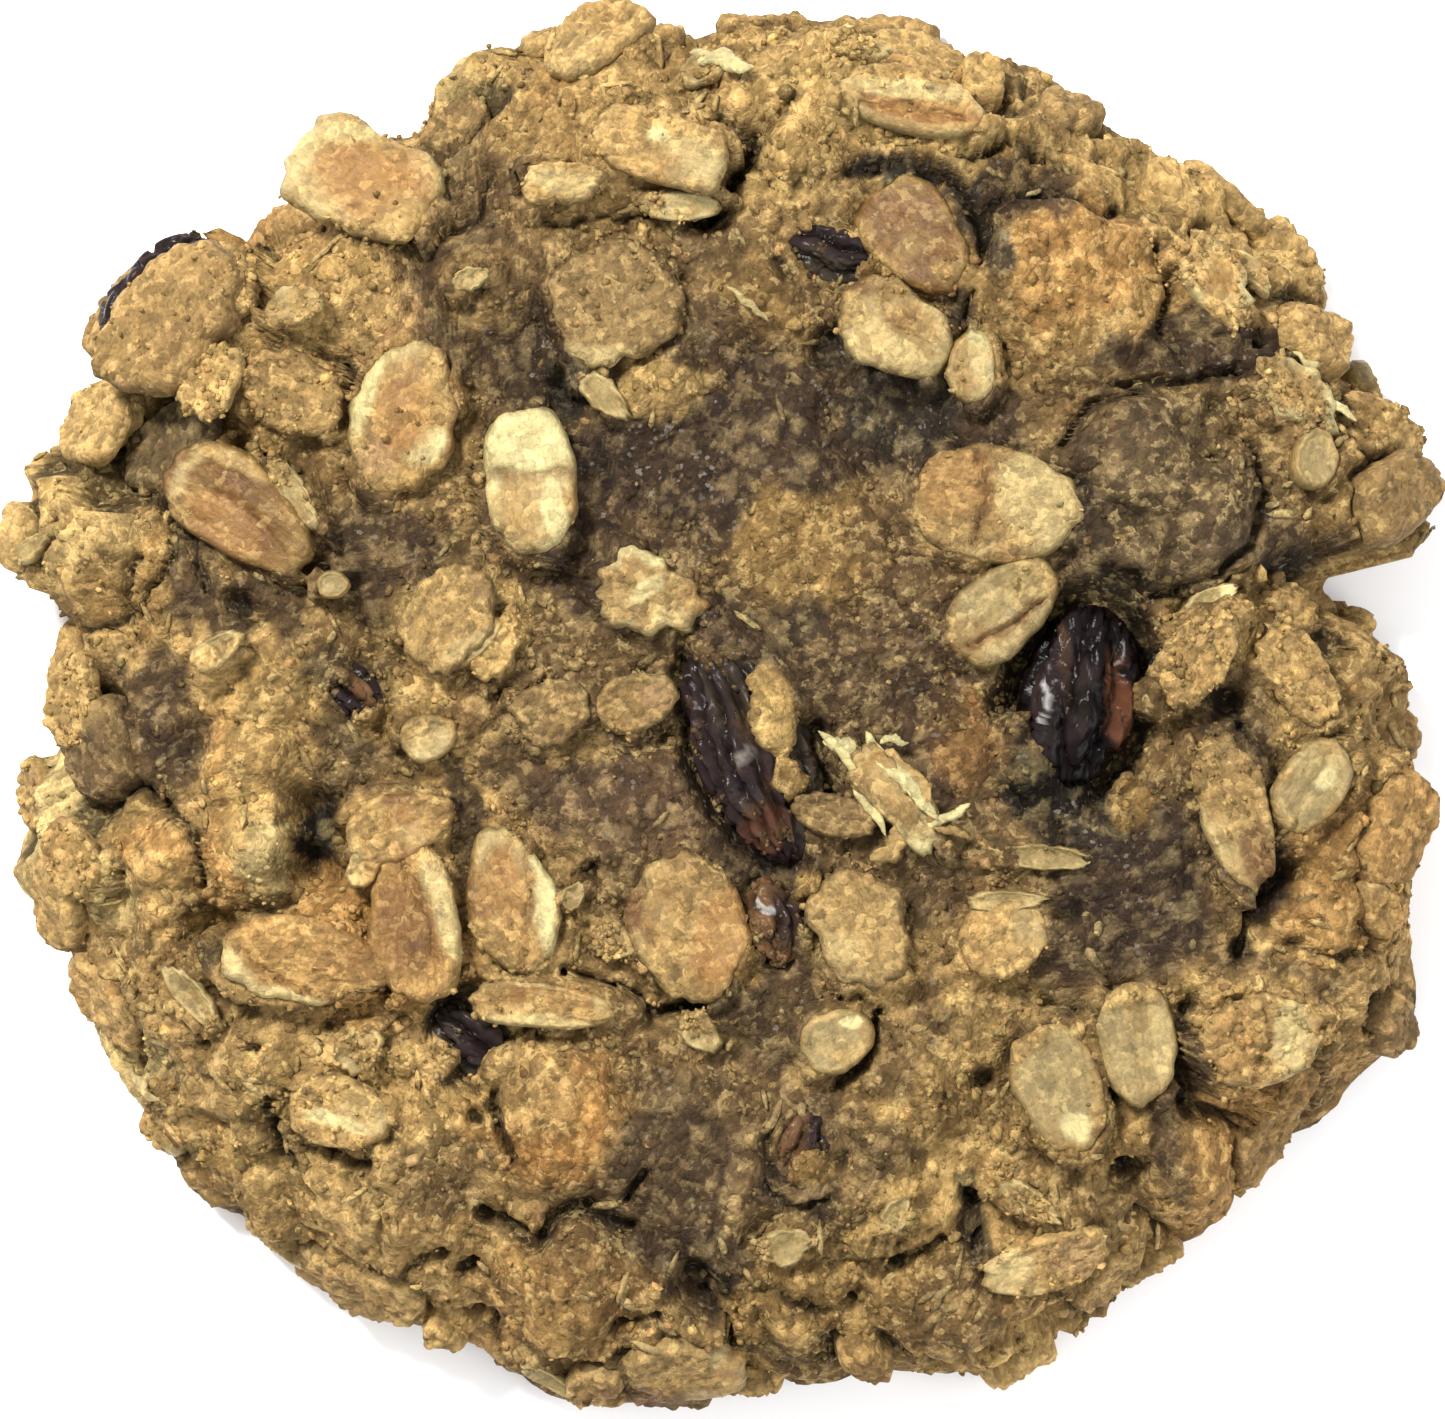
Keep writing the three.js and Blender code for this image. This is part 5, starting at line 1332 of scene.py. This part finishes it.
# Looks of each raisin: main and second colour, bearing of the second colour round the length (90 is on top),
# level of the open dough edge round it as a share of its half height, how far dough covers it, share of crumb
# dust on it, number of its folds, and how much they wander.
RAISIN_LOOKS = {
    "raisin_right": RaisinLook("raisin", "violet", 60, -0.6, 0.1, 0.05, 7, 0.25),
    "raisin_middle": RaisinLook("violet", "slate", 130, -0.3, 0.3, 0.5, 15, 1),
    "raisin_amber": RaisinLook("amber", "violet", 120, -0.3, 0.5, 0.3, 5, 1.2),
    "raisin_rim": RaisinLook("violet", "wine", 90, NO_BED, -NO_BED, 0.3, 6, 0.8),
    "raisin_lower_left": RaisinLook("slate", "violet", 90, 0.1, 0.7, 0.2, 8, 0.6),
    "raisin_upper_right": RaisinLook("violet", "slate", 60, 0, 0.6, 0.3, 6, 0.8),
    "raisin_left": RaisinLook("violet", "amber", 120, 0, 0.6, 0.4, 6, 0.8),
    "raisin_lower": RaisinLook("violet", "amber", 60, 0, 0.7, 0.4, 6, 0.8),
}
RAISIN_SALT = 300

# Colours laid over the raisins: colour, x, y, half sizes, turn in degrees, strength. The near-white spot
# and line at (2, -10.4) and (16.9, 0.5) and the pale grey speck at (1.2, -2.6) are painted highlights, and
# the slate at (19.2, 0.4) is a painted reflection on the right raisin's facet; the rest are stains of the
# skin's own colour.
RAISIN_STAINS_AND_HIGHLIGHTS = [
    ("wine", 21.4, 0.4, 0.7, 2.9, 4, 0.8), ("amber", 18.1, 2.4, 0.35, 3.2, 0, 0.25),
    ("slate", 19.2, 0.4, 0.5, 2, 0, 0.25), ("wine", 2.2, -6.8, 1.6, 1.4, 0, 0.5),
    ("painted_highlight", 2, -10.4, 0.7, 0.3, -30, 0.8), ("painted_highlight", 16.9, 0.5, 0.12, 1.4, 4, 0.4),
    ("slate", -1, 0.6, 0.5, 2.4, 20, 0.6), ("painted_glint", 1.2, -2.6, 0.8, 0.25, 30, 0.4),
]


def raisin_frame(cad_piece):
    """Centre, axes (rows: along, across, up) and half sizes of a raisin, read from its CAD node."""
    points = np.array([vertex.co for vertex in cad_piece.data.vertices]) / MM
    centre = points.mean(axis=0)
    along = np.linalg.eigh(np.cov((points - centre).T))[1][:, -1]
    along *= 1 if along[1] > 0 else -1
    up = np.array([0, 0, 1]) - along * along[2]
    up /= np.linalg.norm(up)
    rows = np.stack([along, np.cross(up, along), up])
    return centre, rows, abs((points - centre) @ rows.T).max(axis=0)


def make_raisin(name, frame, material, salt):
    """A wrinkled raisin in the place of its CAD node."""
    centre, rows, half = frame
    rings, bearings, faces = closed_disc(RAISIN_COUNT)
    polar = rings * math.pi / 2
    sine = np.sin(polar)
    ball = np.stack([sine * np.cos(bearings), sine * np.sin(bearings), np.cos(polar)], axis=-1)
    place = ball * half + (RAISIN_APART * salt, 0, 0)
    look = RAISIN_LOOKS[name]
    around = np.arctan2(ball[:, 2], ball[:, 1])
    twist = look.wander * (0.9 * soft_noise(place, half[0], 503) + 0.6 * soft_noise(place, 1.5, 505))
    fold = abs(np.sin(0.5 * look.folds * around + 2 * twist + salt))
    ends = 1 - abs(ball[:, 0]) ** 3
    wrinkle = abs(soft_noise(ragged(place, 0.9, 0.3, 506), WRINKLE_SIZE, 507))
    depth = half[2] * (0.34 * (1 - fold**0.8) * ends + 0.14 * (1 - smoothstep(0, 0.35, wrinkle)))
    depth += 0.1 * half[2] * (1 + soft_noise(place, 2.2, 509))
    points = ball * half - ball * depth[:, None]

    apart = abs((np.degrees(around) - look.second_at + 180) % 360 - 180) + 25 * soft_noise(place, 1.6, 511)
    second_share = 0.9 * smoothstep(42, 18, apart) * ends
    tone = blend(linear(look.main), linear(look.second), second_share)
    tone = painted(tone, frayed(centre + ball * half @ rows, RAISIN_MARK_FRAY), RAISIN_STAINS_AND_HIGHLIGHTS)
    # Painted shade and light: the skin is darker down in its folds and lighter on their crests.
    tone = tone * (0.2 + 1.1 * fold**0.7)[:, None]
    dusty = smoothstep(0.1, 0.5, layered_noise(place, 0.9, 517) - 0.5 + 1.1 * look.crumb)
    dusty = dusty * min(1, 3 * look.crumb)
    tone = blend(tone, linear("brown"), 0.5 * dusty)
    return add_mesh(name + "_skin", centre + points @ rows, faces, material, tone, grain=0.02 + 0.6 * dusty)


# ---- Materials -----------------------------------------------------------------------------------

GRAIN_SIZE = 0.55
GRIT_SIZE = 0.25
GLINT_SPECK_SIZE = 0.2
CRUST_BUMP = 0.145
FLAKE_BUMP = 0.1
RAISIN_BUMP = 0.06
FLOOR_BUMP = 0.01
FLOOR_COLOUR = (0.97, 0.965, 0.975, 1)
FLOOR_CLOUD = (0.985, 0.985, 0.985, 1)


def add_node(tree, kind, inputs=None, **settings):
    """The outputs of a new shader node; inputs are values or other nodes' outputs."""
    node = tree.nodes.new("ShaderNode" + kind)
    for key, value in settings.items():
        setattr(node, key, value)
    for key, value in (inputs or {}).items():
        if isinstance(value, bpy.types.NodeSocket):
            tree.links.new(value, node.inputs[key])
        else:
            node.inputs[key].default_value = value
    return node.outputs


def start_material(name):
    """A material with an empty node tree, and the object's own coordinates in millimetres."""
    material = bpy.data.materials.new(name)
    material.use_nodes = True
    tree = material.node_tree
    tree.nodes.clear()
    metres = add_node(tree, "TexCoord")["Object"]
    place = add_node(tree, "VectorMath", {"Vector": metres, "Scale": 1 / MM}, operation="SCALE")["Vector"]
    return material, tree, place


def point_value(tree, name, output="Fac"):
    """A value stored at the mesh's points."""
    return add_node(tree, "Attribute", attribute_name=name)[output]


def noise(tree, place, scale, detail, roughness):
    """Smooth noise, mostly from 0.3 to 0.7."""
    inputs = {"Vector": place, "Scale": scale, "Detail": detail, "Roughness": roughness}
    return add_node(tree, "TexNoise", inputs)["Fac"]


def in_range(tree, value, start, end, low, high):
    """The value's range from start to end mapped to the range from low to high."""
    inputs = {"Value": value, "From Min": start, "From Max": end, "To Min": low, "To Max": high}
    return add_node(tree, "MapRange", inputs)["Result"]


def combine(tree, operation, first, second):
    """Two values added, multiplied and so on."""
    return add_node(tree, "Math", {0: first, 1: second}, operation=operation)["Value"]


def scaled_colour(tree, colour, factor):
    """The colour made lighter or darker."""
    return add_node(tree, "VectorMath", {"Vector": colour, "Scale": factor}, operation="SCALE")["Vector"]


def mixed(tree, first, second, factor):
    """A colour between two; 6 and 7 are the node's colour inputs."""
    inputs = {"Factor": factor, 6: first, 7: second}
    return add_node(tree, "Mix", inputs, data_type="RGBA")[2]


def finish_material(tree, inputs, height, reach):
    """Adds bump of a reach in millimetres, the shader and the output."""
    bumped = add_node(tree, "Bump", {"Height": height, "Distance": reach * MM, "Strength": 1.0})["Normal"]
    surface = add_node(tree, "BsdfPrincipled", {**inputs, "Normal": bumped})["BSDF"]
    add_node(tree, "OutputMaterial", {"Surface": surface})


def cell_value(tree, place, size):
    """A value from 0 to 1 of its own for each cell, and the distance to the cell's middle."""
    cells = add_node(tree, "TexVoronoi", {"Vector": place, "Scale": 1 / size})
    return add_node(tree, "SeparateColor", {"Color": cells["Color"]})["Red"], cells["Distance"]


def crumb_texture(tree, place):
    """How bright, how pale and how high baked crumb is from grain to grain."""
    swirls = {"Vector": place, "Scale": 1.7, "Detail": 6.0, "Roughness": 0.65}
    swirl = add_node(tree, "TexNoise", swirls)["Color"]
    shift = {0: swirl, 1: (0.7, 0.7, 0.7), 2: place}
    moved = add_node(tree, "VectorMath", shift, operation="MULTIPLY_ADD")["Vector"]
    grain, grain_apart = cell_value(tree, moved, GRAIN_SIZE)
    grit, grit_apart = cell_value(tree, moved, GRIT_SIZE)
    speckle = noise(tree, place, 4, 3, 0.7)
    coarse, fine = in_range(tree, grain, 0, 1, 0.68, 1.32), in_range(tree, grit, 0, 1, 0.8, 1.2)
    spread = combine(tree, "MULTIPLY", coarse, fine)
    shade = combine(tree, "MULTIPLY", spread, in_range(tree, speckle, 0.3, 0.7, 0.82, 1.18))
    pale = in_range(tree, spread, 1.1, 1.6, 0, 0.5)
    lumps = in_range(tree, grain_apart, 0.1, 0.7, 0.7, 0)
    lumps = combine(tree, "ADD", lumps, in_range(tree, grit_apart, 0.1, 0.7, 0.3, 0))
    height = combine(tree, "ADD", lumps, combine(tree, "ADD", combine(tree, "MULTIPLY", grain, 0.5), speckle))
    return shade, pale, height


def crust_material():
    """Baked dough and crumbs: grainy and matt, with painted highlights where it is dark and moist."""
    material, tree, place = start_material("crust_look")
    tone = point_value(tree, "tone", "Color")
    moist = point_value(tree, "moist")
    shade, pale, height = crumb_texture(tree, place)
    colour = scaled_colour(tree, tone, shade)
    dry = in_range(tree, moist, 0, 1, 1, 0.25)
    colour = mixed(tree, colour, (*linear("cream"), 1), combine(tree, "MULTIPLY", pale, dry))
    # Painted highlights: pale specks mixed into the colour in clusters, more where the dough is moist.
    glint_specks = in_range(tree, cell_value(tree, place, GLINT_SPECK_SIZE)[0], 0.92, 0.96, 0, 1)
    clusters = in_range(tree, noise(tree, place, 0.6, 2, 0.6), 0.5, 0.6, 0.1, 0.9)
    clustered = combine(tree, "MULTIPLY", glint_specks, clusters)
    painted_glints = combine(tree, "MULTIPLY", clustered, in_range(tree, moist, 0, 1, 0.1, 0.5))
    colour = mixed(tree, colour, (*linear("painted_glint"), 1), painted_glints)
    rough = in_range(tree, moist, 0, 1, 0.85, 0.55)
    inputs = {"Base Color": colour, "Roughness": rough, "Specular IOR Level": 0.12}
    finish_material(tree, inputs, height, CRUST_BUMP)
    return material


def flake_material():
    """Toasted oat: fine fibres along each flake, crumb where it is coated."""
    material, tree, place = start_material("flake_look")
    tone = point_value(tree, "tone", "Color")
    grain = point_value(tree, "grain")
    along = point_value(tree, "fibre", "Vector")
    shade, pale, height = crumb_texture(tree, place)
    stretched = add_node(tree, "Mapping", {"Vector": along, "Scale": (0.35, 1.9, 1)})["Vector"]
    fibre = noise(tree, stretched, 2.6, 3, 0.6)
    crumbed = in_range(tree, grain, 0, 1, 0.6, 1)
    plain = in_range(tree, fibre, 0.3, 0.7, 0.88, 1.12)
    spread = combine(tree, "MULTIPLY", combine(tree, "SUBTRACT", shade, 1), crumbed)
    colour = scaled_colour(tree, tone, combine(tree, "ADD", plain, spread))
    colour = mixed(tree, colour, (*linear("cream"), 1), combine(tree, "MULTIPLY", pale, 0.6))
    relief = combine(tree, "MULTIPLY", height, crumbed)
    relief = combine(tree, "ADD", relief, combine(tree, "MULTIPLY", fibre, 0.4))
    rough = in_range(tree, grain, 0, 1, 0.38, 0.82)
    inputs = {"Base Color": colour, "Roughness": rough, "Specular IOR Level": 0.2}
    finish_material(tree, inputs, relief, FLAKE_BUMP)
    return material


def raisin_material():
    """Dark wrinkled skin, half glossy, dull where crumbs stick to it."""
    material, tree, place = start_material("raisin_look")
    tone = point_value(tree, "tone", "Color")
    dust = point_value(tree, "grain")
    mottle = noise(tree, place, 1.6, 4, 0.6)
    fine = noise(tree, place, 7, 3, 0.6)
    shade, _, height = crumb_texture(tree, place)
    plain = in_range(tree, mottle, 0.3, 0.7, 0.7, 1.3)
    spread = combine(tree, "MULTIPLY", combine(tree, "SUBTRACT", shade, plain), dust)
    colour = scaled_colour(tree, tone, combine(tree, "ADD", plain, spread))
    relief = combine(tree, "MULTIPLY", fine, 0.4)
    relief = combine(tree, "ADD", relief, combine(tree, "MULTIPLY", height, dust))
    skin = in_range(tree, fine, 0.3, 0.7, 0.06, 0.16)
    gloss = combine(tree, "ADD", skin, combine(tree, "MULTIPLY", dust, 0.6))
    inputs = {"Base Color": colour, "Roughness": gloss, "Specular IOR Level": 0.08}
    finish_material(tree, inputs, relief, RAISIN_BUMP)
    return material


def floor_material():
    """A smooth pale table top."""
    material, tree, place = start_material("floor_look")
    grit = noise(tree, place, 0.02, 2, 0.5)
    colour = mixed(tree, FLOOR_COLOUR, FLOOR_CLOUD, grit)
    inputs = {"Base Color": colour, "Roughness": 0.9, "Specular IOR Level": 0.1}
    finish_material(tree, inputs, grit, FLOOR_BUMP)
    return material


# ---- Stage ---------------------------------------------------------------------------------------

PHOTO_WIDTH, PHOTO_HEIGHT = 1445, 1419
PIXELS_PER_MM = 18.5
PHOTO_CENTRE = (723, 708.5)
CAMERA_HEIGHT = 800
OUTLINE_HEIGHT = 5
SENSOR = 36
NEAR_AND_FAR = (0.01, 10)
FLOOR_REACH = 1.5


def make_floor():
    """A square table top, with corners FLOOR_REACH metres out."""
    mesh = bpy.data.meshes.new("floor")
    corners = [(FLOOR_REACH * i, FLOOR_REACH * j, 0) for i, j in ((-1, -1), (1, -1), (1, 1), (-1, 1))]
    mesh.from_pydata(corners, [], [(0, 1, 2, 3)])
    mesh.materials.append(floor_material())
    floor = bpy.data.objects.new("floor", mesh)
    bpy.context.scene.collection.objects.link(floor)


def make_camera():
    """A camera straight above, with a long lens that frames the cookie as the photograph does."""
    width = PHOTO_WIDTH / PIXELS_PER_MM
    data = bpy.data.cameras.new("camera")
    data.sensor_width = SENSOR
    data.lens = SENSOR * (CAMERA_HEIGHT - OUTLINE_HEIGHT) / width
    data.clip_start, data.clip_end = NEAR_AND_FAR
    camera = bpy.data.objects.new("camera", data)
    x = (PHOTO_WIDTH / 2 - PHOTO_CENTRE[0]) / PIXELS_PER_MM
    y = (PHOTO_CENTRE[1] - PHOTO_HEIGHT / 2) / PIXELS_PER_MM
    camera.location = (x * MM, y * MM, CAMERA_HEIGHT * MM)
    bpy.context.scene.collection.objects.link(camera)
    bpy.context.scene.camera = camera


# Area lights: place in metres, size, power in watts, colour.
LIGHTS = {
    "window": ((-0.4, 0.5, 0.8), 0.2, 21, (1, 0.98, 0.95)),
    "fill": ((0.6, -0.3, 0.7), 0.7, 6, (0.97, 0.98, 1)),
}
SKY_STRENGTH = 0.88


def make_lights():
    """The area lights, all turned to the cookie, and an even sky."""
    for name, (place, size, power, colour) in LIGHTS.items():
        data = bpy.data.lights.new(name, "AREA")
        data.size, data.energy, data.color = size, power, colour
        light = bpy.data.objects.new(name, data)
        light.location = place
        light.rotation_euler = (-Vector(place)).to_track_quat("-Z", "Y").to_euler()
        bpy.context.scene.collection.objects.link(light)
    world = bpy.data.worlds.new("studio")
    world.use_nodes = True
    sky = world.node_tree.nodes["Background"]
    sky.inputs["Color"].default_value = (1, 1, 1, 1)
    sky.inputs["Strength"].default_value = SKY_STRENGTH
    bpy.context.scene.world = world
    bpy.context.scene.view_settings.view_transform = "Standard"


# ---- The whole scene -----------------------------------------------------------------------------

SIDE_SEED = 5
CRUMB_SEED = 9


def dress(piece, slot, *nodes):
    """Makes a piece ride on the cookie's body in place of CAD nodes, which it hides; the slot is not used."""
    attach(piece, "root")
    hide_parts(*nodes)


def make_cookie(frame):
    """All pieces of the cookie, each in the place of its CAD node."""
    raisins = {name: raisin_frame(piece) for name, piece in frame["nodes"].items() if name != "cookie"}
    crust, oats, skin = crust_material(), flake_material(), raisin_material()
    on_top, on_side = place_top_flakes(), place_side_flakes(np.random.default_rng(SIDE_SEED))
    dough = make_dough(on_top, on_side, raisins, crust)
    top_oats = make_flakes("oat_flakes_top", on_top, FLAKE_COUNT, oats, TOP_SALT)
    side_oats = make_flakes("oat_flakes_side", on_side, SIDE_FLAKE_COUNT, oats, SIDE_SALT)
    draw = np.random.default_rng(CRUMB_SEED)
    baked = [
        dough,
        top_oats,
        side_oats,
        make_strips(oats),
        make_crumbs("crumbs_large", dough, *LARGE_CRUMBS, crust, draw),
        make_crumbs("crumbs_small", dough, SMALL_COUNT, FINE_SIZES, crust, draw),
        make_crumbs("crumbs_on_oats", top_oats, ON_OATS_COUNT, FINE_SIZES, crust, draw),
        make_bran(dough, BRAN_COUNT, crust, draw),
    ]
    for piece in baked:
        dress(piece, "crust", "cookie")
    slots = {part["node"]: part["material_slot"] for part in frame["record"]["subparts"]}
    for i, (name, place) in enumerate(raisins.items()):
        raisin = make_raisin(name, place, skin, i)
        dress(raisin, slots[name], name)
        count = int(ON_RAISIN_COUNT * RAISIN_LOOKS[name].crumb)
        crumbs = make_crumbs("crumbs_on_" + name, raisin, count, FINE_SIZES, crust, draw)
        dress(crumbs, "crust", "cookie")


def main():
    """Builds the scene."""
    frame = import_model()
    make_cookie(frame)
    make_floor()
    make_camera()
    make_lights()
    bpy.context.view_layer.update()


main()
